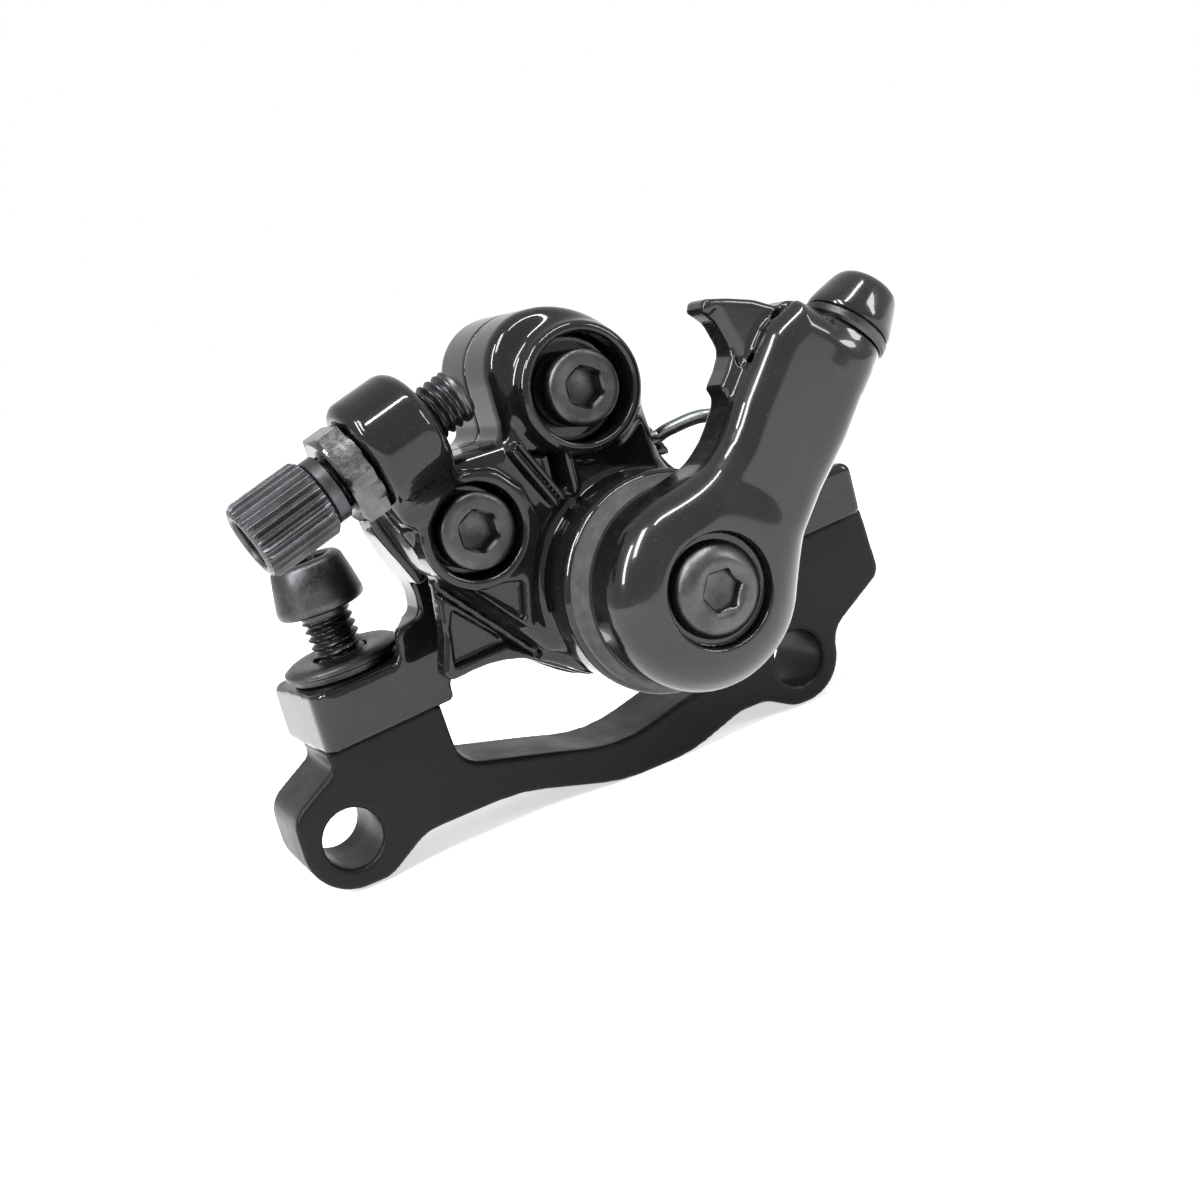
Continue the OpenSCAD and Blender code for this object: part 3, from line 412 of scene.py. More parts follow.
def turned(name, at, way, rows, material, body, stands_for=(), sides=96, ribs=0, ring=False,
           facing=(0.0, 1.0, 0.0), crease=38):
    """A shape turned round an axis from rows of height and radius.

    At the angle a the radius is r (1 + hexness (1 / cos(angle to the nearest flat) - 1)), less the rib times
    a wave of a times the number of ribs, less the groove times a tooth that rises by one pitch a turn.
    """
    h, r, hexness, rib, groove = (column[:, None] for column in np.array(rows, float).T)
    a = np.arange(sides) * (2 * math.pi / sides)
    flat = 1 / np.cos((a + math.pi / 6) % (math.pi / 3) - math.pi / 6)
    wave = np.abs(np.sin(a * ribs / 2)) ** 0.8 if ribs else np.zeros(sides)
    tooth = np.abs(2 * ((h / TURN_RISE - a / (2 * math.pi)) % 1.0) - 1)
    tooth = np.clip(tooth * 1.25 - 0.10, 0, 1)
    radius = r * (1 + hexness * (flat - 1)) - rib * wave - groove * tooth
    way = np.array(way, float) / np.linalg.norm(way)
    side = np.array(facing, float) - way * np.dot(facing, way)
    side /= np.linalg.norm(side)
    other = np.cross(way, side)
    points = (np.array(at, float) + h[..., None] * way + (radius * np.cos(a))[..., None] * side
              + (radius * np.sin(a))[..., None] * other).reshape(-1, 3)
    count = len(rows)
    i = np.arange(count if ring else count - 1)[:, None]
    k = np.arange(sides)[None, :]
    j = (i + 1) % count
    n = (k + 1) % sides
    faces = np.stack([i * sides + k, i * sides + n, j * sides + n, j * sides + k], -1).reshape(-1, 4)
    return make_piece(name, points, faces, material, body, stands_for, crease)


def tube(name, path, radius, material, body, stands_for=(), sides=16):
    """A round wire along a path: circles carried without twist, closed by a small dome at each end."""
    path = np.asarray(path, float)
    along = np.gradient(path, axis=0)
    along /= np.linalg.norm(along, axis=1)[:, None]
    side = np.empty_like(path)
    last = np.array([0.3, 0.9, 0.1])
    for i, t in enumerate(along):
        last = last - t * (last @ t)
        last = last / np.linalg.norm(last)
        side[i] = last
    dome = np.radians([90, 65, 40, 15])
    start = [path[0] - along[0] * radius * math.sin(t) for t in dome]
    end = [path[-1] + along[-1] * radius * math.sin(t) for t in dome[::-1]]
    centres = np.vstack([start, path, end])
    sides_at = np.vstack([[side[0]] * 4, side, [side[-1]] * 4])
    ways = np.vstack([[along[0]] * 4, along, [along[-1]] * 4])
    radii = np.concatenate([radius * np.cos(dome), np.full(len(path), radius), radius * np.cos(dome[::-1])])
    other = np.cross(ways, sides_at)
    a = np.arange(sides) * (2 * math.pi / sides)
    points = (centres[:, None] + radii[:, None, None] * (np.cos(a)[None, :, None] * sides_at[:, None]
              + np.sin(a)[None, :, None] * other[:, None])).reshape(-1, 3)
    i = np.arange(len(centres) - 1)[:, None]
    k = np.arange(sides)[None, :]
    n = (k + 1) % sides
    faces = np.stack([i * sides + k, i * sides + n, (i + 1) * sides + n, (i + 1) * sides + k],
                     -1).reshape(-1, 4)
    return make_piece(name, points, faces, material, body, stands_for, crease=60)


# Castings from distance fields

def join(a, b, fillet=0.0):
    """Union of two distance fields, with a round fillet in the corner between them."""
    if not fillet:
        return np.minimum(a, b)
    return np.maximum(fillet, np.minimum(a, b)) - np.hypot(np.maximum(fillet - a, 0),
                                                           np.maximum(fillet - b, 0))


def meet(a, b, edge=0.0):
    """What two distance fields share, with a rounded edge."""
    if not edge:
        return np.maximum(a, b)
    return np.minimum(-edge, np.maximum(a, b)) + np.hypot(np.maximum(edge + a, 0), np.maximum(edge + b, 0))


def without(a, b, edge=0.0):
    """The first field less the second, with a rounded edge."""
    return meet(a, -b, edge)


def rounded(corners):
    """A closed outline from corners (x, z, radius), each rounded by an arc of its radius."""
    points = []
    corners = [np.array(c, float) for c in corners]
    for before, here, after in zip(corners[-1:] + corners[:-1], corners, corners[1:] + corners[:1]):
        if here[2] < 0.05:
            points.append(here[:2])
            continue
        d1 = (here - before)[:2] / np.linalg.norm((here - before)[:2])
        d2 = (after - here)[:2] / np.linalg.norm((after - here)[:2])
        turn = math.atan2(d1[0] * d2[1] - d1[1] * d2[0], d1 @ d2)
        sign = 1 if turn >= 0 else -1
        normal = np.array([-d1[1], d1[0]])
        centre = here[:2] - d1 * here[2] * math.tan(abs(turn) / 2) + normal * sign * here[2]
        start = math.atan2(-sign * normal[1], -sign * normal[0])
        angles = start + turn * np.linspace(0, 1, max(3, int(abs(math.degrees(turn)) / 6)))
        points.extend(centre + here[2] * np.stack([np.cos(angles), np.sin(angles)], 1))
    return np.array(points)


class Space:
    """A block of sample points, in mm, on which a casting's distance field is worked out."""

    def __init__(self, low, high, step):
        self.low, self.step = np.array(low, float), step
        self.x, self.y, self.z = (np.arange(a, b, step, dtype=np.float32) for a, b in zip(low, high))
        self.X, self.Y, self.Z = self.x[:, None, None], self.y[None, :, None], self.z[None, None, :]

    def outline(self, points):
        """Flat distance to a closed outline, negative inside. Counted crossings tell the inside."""
        p = np.array(points, np.float32)
        e = np.roll(p, -1, 0) - p
        wx = self.x[:, None, None] - p[:, 0]
        wz = self.z[None, :, None] - p[:, 1]
        t = np.clip((wx * e[:, 0] + wz * e[:, 1]) / np.maximum((e ** 2).sum(1), 1e-9), 0, 1)
        far = np.hypot(wx - t * e[:, 0], wz - t * e[:, 1]).min(2)
        spans = (wz < 0) != (wz < e[:, 1])
        left = wx < wz * e[:, 0] / np.where(e[:, 1] == 0, 1e-9, e[:, 1])
        inside = (spans & left).sum(2) % 2 == 1
        return np.where(inside, -far, far)[:, None, :]

    def disc(self, at, radius):
        """Flat distance to a circle."""
        return np.hypot(self.X - at[0], self.Z - at[1]) - radius

    def band(self, flat, front, back, front_edge=0.3, back_edge=0.3):
        """A flat shape drawn out between two depths, with rounded edges."""
        return meet(meet(flat, front - self.Y, front_edge), self.Y - back, back_edge)

    def rod(self, at, radius, front, back, front_edge=0.0, back_edge=0.0):
        """A cylinder along the axle."""
        return self.band(self.disc(at, radius), front, back, front_edge, back_edge)

    def cone(self, at, front_radius, back_radius, front, back, edge=0.4):
        """A round boss whose radius grows with depth."""
        slope = (back_radius - front_radius) / (back - front)
        flat = (self.disc(at, front_radius) - slope * (self.Y - front)) / math.hypot(1, slope)
        return self.band(flat, front, back, edge, 0.0)

    def rib(self, a, b, width, front, back, edge=0.5):
        """A straight bar between two places."""
        d = np.array(b, float) - a
        length = np.linalg.norm(d)
        d /= length
        along = (self.X - a[0]) * d[0] + (self.Z - a[1]) * d[1]
        across = np.abs(-(self.X - a[0]) * d[1] + (self.Z - a[1]) * d[0]) - width / 2
        return self.band(meet(across, np.maximum(-along, along - length), edge), front, back, edge, edge)

    def about(self, at, way):
        """Distance along and away from a slanted axis."""
        rel = (self.X - at[0], self.Y - at[1], self.Z - at[2])
        along = rel[0] * way[0] + rel[1] * way[1] + rel[2] * way[2]
        away = np.sqrt(np.maximum(rel[0] ** 2 + rel[1] ** 2 + rel[2] ** 2 - along ** 2, 0))
        return along, away

    def pin(self, at, way, radius, low, high, low_edge=0.0, high_edge=0.0):
        """A cylinder on a slanted axis."""
        along, away = self.about(at, way)
        return meet(meet(away - radius, low - along, low_edge), along - high, high_edge)

    def skin(self, name, field, material, body, stands_for):
        """Meshes the surface where the field is zero."""
        grid = openvdb.FloatGrid(float(self.step * 3))
        grid.copyFromArray(np.ascontiguousarray(np.clip(field, -3 * self.step, 3 * self.step), np.float32))
        points, quads = grid.convertToQuads(isovalue=0.0)
        return make_piece(name, points * self.step + self.low, quads.astype(np.int64), material, body,
                          stands_for)


LOBE = [(12.3, 41, 8), (8.1, 52.4, 8.4), (-4.8, 52.4, 6.5), (-4.8, 39.6, 1.5), (-17.8, 39.6, 3)]


def front_casting():
    """Front half: lobes, web, cam housing, raised fields, ribs and cable stop boss, less its bores."""
    s = Space((-29.5, -20.7, 5.5), (26, -4.3, 54), 0.28)

    def shape(corners, front, back, front_edge, back_edge):
        """A rounded outline drawn out between two depths."""
        return s.band(s.outline(rounded(corners)), front, back, front_edge, back_edge)

    solid = shape([(-6.6, 15.6, 1.5), (2.8, 12, 3), (14.8, 13, 4), (17.8, 20, 6), (14.8, 28.6, 1),
                   (13, 32.4, 1.2)] + LOBE[:4] + [(-19.2, 39.6, 1.5), (-20.2, 37.8, 2), (-16.9, 28.4, 6)],
                  LOBE_Y, SEAM, 2.0, 0.35)
    web = shape([(-18.8, 16.1, 1), (-10.2, 17, 14), (-2.2, 11.6, 3), (6.8, 14, 3), (6.8, 24, 3),
                 (-6.2, 29, 3), (-16.2, 28, 2), (-17.2, 21, 4)], LOBE_Y + 1.7, SLOT_FRONT + 0.8, 0.6, 0.5)
    groove = s.rib((-17.6, 27.9), (-7.2, 15.4), 0.9, LOBE_Y - 3, LOBE_Y + 3.2, 0.15)
    solid = join(solid, without(web, groove, 0.3), 0.25)
    solid = join(solid, shape([(12.8, 11, 3), (21.8, 12, 6), (24.2, 16.4, 2), (22.2, 24, 3), (18.8, 29, 4),
                               (6.8, 24, 3)], LOBE_Y + 2.5, SLOT_FRONT + 0.6, 1.0, 0.5), 1.0)
    housing = s.rod(PIVOT, 12.2, HOUSING_Y, SLOT_FRONT + 1, 0.5, 0.2)
    housing = join(housing, s.rod(PIVOT, 12.5, HOUSING_Y + 0.5, HOUSING_Y + 1.8, 0.3, 0.3), 0.3)
    solid = join(solid, housing, 1.0)
    solid = join(solid, s.cone(UPPER_SCREW, 7.1, 8.1, TOWER_Y, LOBE_Y + 1.5, 0.6), 1.2)
    tier = shape([(-15.7, 28, 2), (-8.3, 18.9, 0.6), (-6.4, 26.2, 3), (-4.2, 30.2, 2), (-5, 34.2, 2),
                  (-7.8, 37.4, 3), (-13.2, 37.8, 3), (-18.4, 35, 2)], TOWER_Y, LOBE_Y + 1, 0.45, 0)
    hollow = s.outline([(-14, 26.2), (-9.2, 20.7), (-8.2, 24.9)])
    tier = without(tier, s.band(hollow, TOWER_Y - 1, TOWER_Y + 1.1, 0, 0.3), 0.35)
    tier = join(tier, s.rod(LOWER_SCREW, 6.3, TOWER_Y - 0.05, LOBE_Y + 1.5, 0.35, 0), 0.2)
    solid = join(solid, tier, 0.4)
    crest = s.rib((-4.7, 38.8), (-1.1, 31.4), 1.7, TOWER_Y + 0.35, LOBE_Y + 1.1, 0.35)
    crest = without(crest, s.rib((-4.7, 38.8), (-1.1, 31.4), 0.35, TOWER_Y - 1, TOWER_Y + 1, 0.1), 0.25)
    solid = join(solid, crest, 0.35)
    solid = join(solid, s.rib((1.1, 37), (1, 31.8), 0.9, TOWER_Y + 0.7, LOBE_Y + 1.2, 0.3), 0.5)
    boss = s.pin(STOP_AT, BARREL_WAY, 6.6, 0, 8, 1.3, 2.0)
    boss = join(boss, s.rib((-16.5, 39.9), (-15.8, 34.4), 6.6, -16.4, LOBE_Y + 2, 1.0), 1.8)
    solid = join(solid, boss, 1.0)
    solid = without(solid, s.rod(HUB, ROTOR_SPACE_R, SLOT_FRONT, SLOT_BACK + 4), 0.4)
    upper_pocket = [(-2.8, 37.6), (-0.5, 32.9), (0.3, 32.8), (0.3, 36.6)]
    lower_pocket = [(-17, 17.6), (-10.6, 18), (-8.8, 16.6), (-15.5, 23.6), (-16.4, 22)]
    for pocket, floor in ((upper_pocket, LOBE_Y + 2.6), (lower_pocket, LOBE_Y + 3.1)):
        solid = without(solid, s.band(s.outline(pocket), LOBE_Y - 3, floor, 0, 0.4), 0.4)
    for at, bore in ((UPPER_SCREW, 6), (LOWER_SCREW, 5.2)):
        solid = without(solid, s.rod(at, bore, -23, SCREW_SEAT_Y, 0, 0.3), 0.4)
        solid = without(solid, s.rod(at, 2.8, SCREW_SEAT_Y - 1, SEAM + 1), 0.2)
    solid = without(solid, s.rod(PIVOT, PISTON_BORE_R, PISTON_BORE_FRONT, SEAM + 2), 0.2)
    solid = without(solid, s.rod(PIVOT, CAM_BORE_R, CAM_BORE_FRONT, CAM_BORE_BACK), 0.2)
    solid = without(solid, s.rod(PIVOT, SHAFT_BORE_R, HOUSING_Y - 1, SHAFT_BORE_BACK), 0.25)
    solid = without(solid, s.pin(STOP_AT, BARREL_WAY, 3.05, -2, 10), 0.5)
    solid = without(solid, s.pin((11.2, -11.6, 34.7), (1, 0, 0), 1.05, 0, 6), 0.25)
    return s.skin("front_casting", solid, CAST, "caliper", ("front_body",))


def ear_holes(s, solid):
    """The slotted washer seats and bolt holes of the ears, drawn out front to back."""
    for x in (LEFT_X, RIGHT_X):
        at = bolt_seat(x)
        rel = (s.X - at[0], s.Y - at[1], s.Z - at[2])
        along = rel[0] * BOLT_WAY[0] + rel[2] * BOLT_WAY[2]
        across = rel[0] * BOLT_WAY[2] - rel[2] * BOLT_WAY[0]
        depth = np.sign(rel[1]) * np.maximum(np.abs(rel[1]) - EAR_SLOT_PLAY, 0)
        away = np.hypot(across, depth)
        solid = without(solid, np.maximum(away - EAR_SEAT_R, EAR_H - along), 0.3)
        solid = without(solid, away - EAR_HOLE_R, 0.4)
    return solid


def rear_casting():
    """Rear half: plate with the lobe outline, two slotted ears, pad boss and ribs, less its bores."""
    s = Space((-33, -6, 6.5), (46, 15, 54), 0.33)
    left, right = seat(LEFT_X), seat(RIGHT_X)
    solid = s.band(s.outline(rounded([
        (-19.62, left + 1.2, 0.8), (-14.12, left + 4, 4), (-6.2, 13.7, 5), (1.8, 8.3, 6), (11.8, 8.3, 6),
        (19.8, 14.5, 5), (27.22, right + 3, 4), (33.22, right + 1.5, 0.8), (33.22, right + 5.5, 0.8),
        (27.82, right + 11, 2), (19.6, 28, 6), (16, 35.5, 8)] + LOBE + [
        (-20.2, 34.5, 4), (-16.2, 25.5, 5), (-16.6, left + 11.4, 1.2), (-19.92, left + 10.6, 1),
        (-20.72, left + 5.5, 0.8)])), SEAM, REAR_BACK, 0.35, 2.2)
    for low, high in ((LEFT_X - 8.1, LEFT_X + 8.9), (RIGHT_X - 8.9, RIGHT_X + 6.1)):
        ear = s.outline(rounded([(low, seat(low), 0.8), (high, seat(high), 0.8),
                                 (high, seat(high) + EAR_H, 1.4), (low, seat(low) + EAR_H, 1.4)]))
        ear = s.band(ear, SLOT_BACK + 0.1, EAR_BACK, 1.0, 1.6)
        end = low + EAR_DRAFT * (EAR_BACK - s.Y) - s.X
        solid = join(solid, meet(ear, meet(end, SLOT_BACK + 0.1 - s.Y, 2.6)), 1.2)
    solid = join(solid, s.cone(PIVOT, 12.4, 10.4, REAR_BACK - 1.5, PAD_BOSS_BACK, 0.0), 1.5)
    for at in (UPPER_SCREW, LOWER_SCREW):
        solid = join(solid, s.cone(at, 5.4, 4.8, REAR_BACK - 1, REAR_BACK + 1.6, 0.0), 0.8)
    for inner, outer in (((16.8, 19), (31.2, right + 3.5)), ((-3.2, 19), (-17.6, left + 3.5))):
        solid = join(solid, s.rib(inner, outer, 4.6, REAR_BACK - 1.2, REAR_BACK + 4, 0.9), 1.4)
    solid = without(solid, s.rod(HUB, ROTOR_SPACE_R, SLOT_FRONT - 4, SLOT_BACK), 0.4)
    solid = ear_holes(s, solid)
    solid = without(solid, s.rod(PIVOT, PISTON_BORE_R, SEAM - 2, -0.3), 0.2)
    solid = without(solid, s.rod(PIVOT, 8.55, -1, PAD_BOSS_BACK + 2), 0.3)
    for at in (UPPER_SCREW, LOWER_SCREW):
        solid = without(solid, s.rod(at, 2.55, SEAM - 1, REAR_BACK + 3), 0.3)
    return s.skin("rear_casting", solid, CAST, "caliper", ("rear_body",))


def mount_plate():
    """Bracket: one flat outline with two lugs, two posts and a thin bar, less its bolt holes."""
    s = Space((-38.5, -1, -7.5), (46.5, 13, 18), 0.33)
    left_top, right_top = LEFT_X + POST_HALF, RIGHT_X + POST_HALF
    solid = s.band(s.outline(rounded([
        (-37, -6, 6), (-28, -6, 4), (-22.5, -2.6, 6), (-10, -2.5, 20), (3, -6.3, 18), (13, -6.3, 16),
        (21, -3.8, 5), (25, -3.8, 4), (29, -6, 4), (37, -6, 6), (37, 1.6, 4), (right_top + 0.7, 6.8, 2.2),
        (right_top, seat(right_top) - 0.02, 0.7), (right_top - 15, seat(right_top - 15) - 0.02, 0.7),
        (right_top - 15, 3, 7), (14, 0.6, 16), (4, -1.9, 18), (-4, 0.4, 16), (left_top + 0.4, 3.6, 3.5),
        (left_top, seat(left_top) - 0.02, 0.7), (left_top - 15, seat(left_top - 15) - 0.02, 0.7),
        (left_top - 13.8, 8.6, 1.4), (-37, 4.6, 3.5)])), 0, PLATE_T, 0.55, 0.55)
    for x in (-FRAME_HOLE_X, FRAME_HOLE_X):
        solid = without(solid, s.rod((x, 0), FRAME_HOLE_R, -1, PLATE_T + 1), 0.45)
    for x in (LEFT_X, RIGHT_X):
        solid = without(solid, s.pin((x, BOLT_Y, seat(x)), BOLT_WAY, 3.05, -10.8, 2), 0.3)
    return s.skin("mount_plate", solid, SATIN, "bracket", ("bracket",))


def lever_casting():
    """Lever: round boss, arm that narrows to the clamp end, cable horn, notch and spring chamber."""
    s = Space((-5.5, -31.2, 7.5), (40, -19.3, 51.5), 0.24)

    def placed(corners):
        """An outline given in the lever's own frame."""
        p = rounded(corners)
        return np.array(PIVOT) + p[:, :1] * ARM_WAY[[0, 2]] + p[:, 1:] * ARM_UP[[0, 2]]

    boss = s.band(s.disc(PIVOT, 11.2), ARM_FRONT, ARM_BACK, 4.2, 0.5)
    arm = s.band(s.outline(placed([
        (-8, -8, 8), (8.6, -7.2, 5), (15.8, -6.1, 14), (21.9, -5.8, 14), (29.6, -4.6, 2), (32, -3.6, 1.5),
        (32, 3.4, 1.5), (31.2, 7.8, 1.2), (26.5, 9.2, 6), (18, 7.9, 8), (13.9, 6.9, 10), (8.6, 7.4, 6),
        (-8, 8, 8)])), ARM_FRONT + 0.05, ARM_BACK - 0.1, 3.2, 0.6)
    solid = join(boss, arm, 2.2)
    horn = s.band(s.outline(placed([
        (17.6, 5, 1), (28.4, 5, 1), (31, 5.6, 0.8), (30, 7.8, 2), (28.7, 11.2, 4), (27, 13.9, 4),
        (25.3, 16.2, 0.6), (24.1, 15.7, 0.6), (24.2, 13.4, 2.2), (22.9, 10.4, 2), (20.8, 9.8, 1.6),
        (18.7, 9.5, 0.7), (18, 7.2, 0.8)])), ARM_FRONT + 3.4, ARM_BACK - 0.4, 0.6, 0.6)
    ends = [placed([(*end, 0)])[0] for end in ((24.9, 14.6), (22.2, 8.4))]
    crease = s.rib(*ends, 1.0, ARM_FRONT, ARM_FRONT + 3.85, 0.2)
    solid = join(solid, without(horn, crease, 0.3), 0.7)
    solid = join(solid, s.pin(CLAMP_AT, ARM_WAY, 4.9, ARM_LEN - 5, ARM_LEN + 0.1, 0.5, 0.4), 1.0)
    solid = without(solid, s.rod(PIVOT, 10.2, ARM_BACK - SPRING_ROOM, ARM_BACK + 1), 0.3)
    solid = join(solid, s.rod(PIVOT, 7.3, ARM_BACK - 3.9, HOUSING_Y - 0.75, 0, 0.3))
    solid = without(solid, s.rod(PIVOT, 6.1, ARM_FRONT - 1, ARM_FRONT + 1.2, 0, 0.25), 0.5)
    solid = without(solid, s.rod(PIVOT, 4.6, ARM_BACK - 4.6, HOUSING_Y), 0.2)
    solid = without(solid, s.rod(PIVOT, 3.2, ARM_FRONT - 1, ARM_BACK), 0.2)
    cable_at = np.array([PIVOT[0], ARM_FRONT + 3.1, PIVOT[1]]) + 8.0 * ARM_UP
    solid = without(solid, s.pin(cable_at, ARM_WAY, 0.6, 22.5, ARM_LEN + 1, 0.4), 0.35)
    solid = without(solid, s.pin(CLAMP_AT, ARM_WAY, 2.55, ARM_LEN - 12, ARM_LEN + 8), 0.3)
    return s.skin("lever_casting", solid, GLOSS, "lever", ("arm",))


front_casting()
rear_casting()
mount_plate()
lever_casting()


# Screws

def cap_rows(head_r, head_h, key, key_depth, shank_r, length, thread_depth, pitch):
    """Rows of a socket cap screw: key pit, rim, head, underside and shank, from 0 under the head."""
    rows = [row(head_h - key_depth - 0.4, 0), row(head_h - key_depth, key * 0.30),
            row(head_h - key_depth, key / 2, 1), row(head_h - 0.35, key / 2, 1),
            row(head_h - 0.05, key / 2 + 0.30, 0.5), row(head_h, head_r - 1.1), row(head_h, head_r - 0.6),
            row(head_h - 0.12, head_r - 0.25), row(head_h - 0.5, head_r), row(0.35, head_r),
            row(0.1, head_r - 0.1), row(0, head_r - 0.35), row(0, shank_r + 0.1), row(-0.3, shank_r - 0.02),
            row(-0.31, shank_r - 0.02)]
    rows += thread_rows(-length + 0.7, -0.6, shank_r, thread_depth, pitch)[::-1]
    return rows + [row(-length + 0.5, shank_r - 0.05), row(-length, shank_r - 0.55), row(-length, 0)]


BOLT_ROWS = ([row(2.0, 0), row(2.4, 1.4), row(2.4, 2.5, 1), row(5.7, 2.5, 1), row(5.95, 2.8, 0.5),
              row(6.0, 3.4), row(5.94, 3.75), row(5.72, 4.05), row(5.4, 4.3), row(3.2, 4.8), row(1.3, 5.17),
              row(1.0, 5.22), row(0.45, 5.22), row(0.12, 5.05), row(0, 4.8), row(0, 3.1), row(-0.3, 2.98)]
             + thread_rows(-17.3, -0.6, 3.0, 0.55, 1.0)[::-1]
             + [row(-17.5, 2.95), row(-18, 2.45), row(-18, 0)])
for side, x, lifted in (("left", LEFT_X, LEFT_LIFT), ("right", RIGHT_X, 0.0)):
    base = bolt_seat(x) + BOLT_WAY * (EAR_H + WASHER_T + 0.02 + lifted)
    turned(side + "_bolt_screw", base, BOLT_WAY, BOLT_ROWS, OXIDE, side + "_bolt", ("mount_bolt_" + side,))

BODY_SCREW_ROWS = cap_rows(head_r=4.25, head_h=5.0, key=4.0, key_depth=2.5, shank_r=2.5, length=16.0,
                           thread_depth=0.0, pitch=0.8)
for side, at, stands_for in (("upper", UPPER_SCREW, ("body_screws",)), ("lower", LOWER_SCREW, ())):
    turned(side + "_body_screw", (at[0], SCREW_SEAT_Y - 0.01, at[1]), (0, -1, 0), BODY_SCREW_ROWS, OXIDE,
           "caliper", stands_for, facing=(0.5, 0, 0.866))


def washer_rows(inner, outer, low, high, edge=0.15):
    """Rows of a flat ring with slightly rounded edges."""
    return [row(low, inner + edge), row(low, outer - edge), row(low + edge, outer), row(high - edge, outer),
            row(high, outer - edge), row(high, inner + edge), row(high - edge, inner),
            row(low + edge, inner)]


STEPPED_ROWS = [row(0.01, 3.4), row(0.01, 6.2), row(0.12, 6.3), row(0.74, 6.3), row(0.84, 6.4),
                row(0.92, 6.9), row(1.02, 7), row(1.42, 7), row(1.55, 6.92), row(1.95, 6.2),
                row(2.01, 6.0), row(2.01, 3.6), row(1.9, 3.35), row(1.7, 3.3), row(0.12, 3.3)]
for side, x, stands_for in (("left", LEFT_X, ("mount_washers",)), ("right", RIGHT_X, ())):
    turned(side + "_washer", bolt_seat(x) + BOLT_WAY * EAR_H, BOLT_WAY, STEPPED_ROWS, OXIDE, "bracket",
           stands_for, ring=True)

BUTTON_ROWS = ([row(0.3, 0), row(0.6, 1.4), row(0.7, 2.0, 1), row(1.75, 2.0, 1), row(2.02, 2.25, 0.6),
                row(2.22, 2.9), row(2.12, 3.5), row(1.85, 4.05), row(1.45, 4.6), row(0.95, 5.0),
                row(0.5, 5.2), row(0.2, 5.25), row(0.0, 5.1), row(0.0, 3.05), row(-0.4, 2.98)]
               + thread_rows(-8.4, -0.7, 2.98, 0.0, 1.0)[::-1]
               + [row(-8.6, 2.9), row(-9, 2.5), row(-9, 0)])
turned("lever_button_bolt", (PIVOT[0], ARM_FRONT + 1.19, PIVOT[1]), (0, -1, 0), BUTTON_ROWS, NICKEL,
       "lever", ("arm_bolt",), facing=(0.866, 0, 0.5))

clamp_base = CLAMP_AT + ARM_WAY * (ARM_LEN + 0.2)
turned("clamp_washer", clamp_base, ARM_WAY, washer_rows(2.7, 5.1, 0.02, 1.32, 0.3), OXIDE, "cable_pinch",
       ("pinch_washer",), ring=True)
DOME_ROWS = ([row(2.4, 0), row(2.4, 1.4), row(2.4, 2.0, 1), row(5.0, 2.0, 1), row(5.3, 2.25, 0.6),
              row(5.4, 2.6), row(5.32, 2.95), row(5.05, 3.35), row(4.6, 3.7), row(4.0, 3.98),
              row(2.8, 4.38), row(1.5, 4.78), row(0.8, 4.94), row(0.4, 4.98), row(0.12, 4.88),
              row(0, 4.6), row(0, 2.6), row(-0.3, 2.5)]
             + thread_rows(-10.3, -0.6, 2.5, 0.4, 0.8)[::-1]
             + [row(-10.6, 2.4), row(-11, 2.0), row(-11, 0)])
turned("clamp_dome_bolt", clamp_base + ARM_WAY * 1.34, ARM_WAY, DOME_ROWS, GLOSS, "cable_pinch",
       ("pinch_bolt",))


# Cable adjuster

NUT_END, NUT_H, COLLAR_H = -0.1, 3.4, 1.5
COLLAR_END = NUT_END - NUT_H - 0.45
KNURL_END = COLLAR_END - COLLAR_H - 0.03
BARREL_LEN, BARREL_R = 8.8, 4.4
outer = KNURL_END - BARREL_LEN
KNURL_ROWS = ([row(outer + 6.4, 1.2), row(outer + 6.4, 2.75), row(outer + 0.4, 2.75),
               row(outer + 0.1, 2.95), row(outer, 3.2), row(outer, BARREL_R - 0.9),
               row(outer + 0.25, BARREL_R - 0.4, 0, 0.1), row(outer + 0.7, BARREL_R, 0, 0.5),
               row(outer + BARREL_LEN - 0.7, BARREL_R, 0, 0.5),
               row(outer + BARREL_LEN - 0.25, BARREL_R - 0.4, 0, 0.1), row(KNURL_END, BARREL_R - 0.9),
               row(KNURL_END, 3.02)]
              + thread_rows(KNURL_END + 0.2, 12.5, 3.0, 0.5, 1.0)
              + [row(12.7, 2.9), row(13.2, 2.45), row(13.2, 1.2)])
turned("knurled_adjuster", STOP_AT, BARREL_WAY, KNURL_ROWS, KNURL, "barrel", ("barrel_adjuster",),
       sides=240, ribs=30, ring=True, crease=30)
turned("adjuster_collar", STOP_AT, BARREL_WAY,
       washer_rows(3.05, 3.7, COLLAR_END - COLLAR_H, COLLAR_END, 0.12), KNURL, "collar",
       ("barrel_collar",), ring=True)
NUT_ROWS = [row(NUT_END - NUT_H, 3.3), row(NUT_END - NUT_H, 4.75), row(NUT_END - 3.2, 5.0, 0.35),
            row(NUT_END - 2.95, 5.0, 1), row(NUT_END - 0.45, 5.0, 1), row(NUT_END - 0.2, 5.0, 0.35),
            row(NUT_END, 4.75), row(NUT_END, 3.3), row(NUT_END - 0.3, 3.06), row(NUT_END - 3.1, 3.06)]
turned("bright_lock_nut", STOP_AT, BARREL_WAY, NUT_ROWS, BRIGHT_NUT, "lock_nut", ("barrel_lock_nut",),
       ring=True, crease=16, facing=(-0.309, 0, 0.951))


# Spring

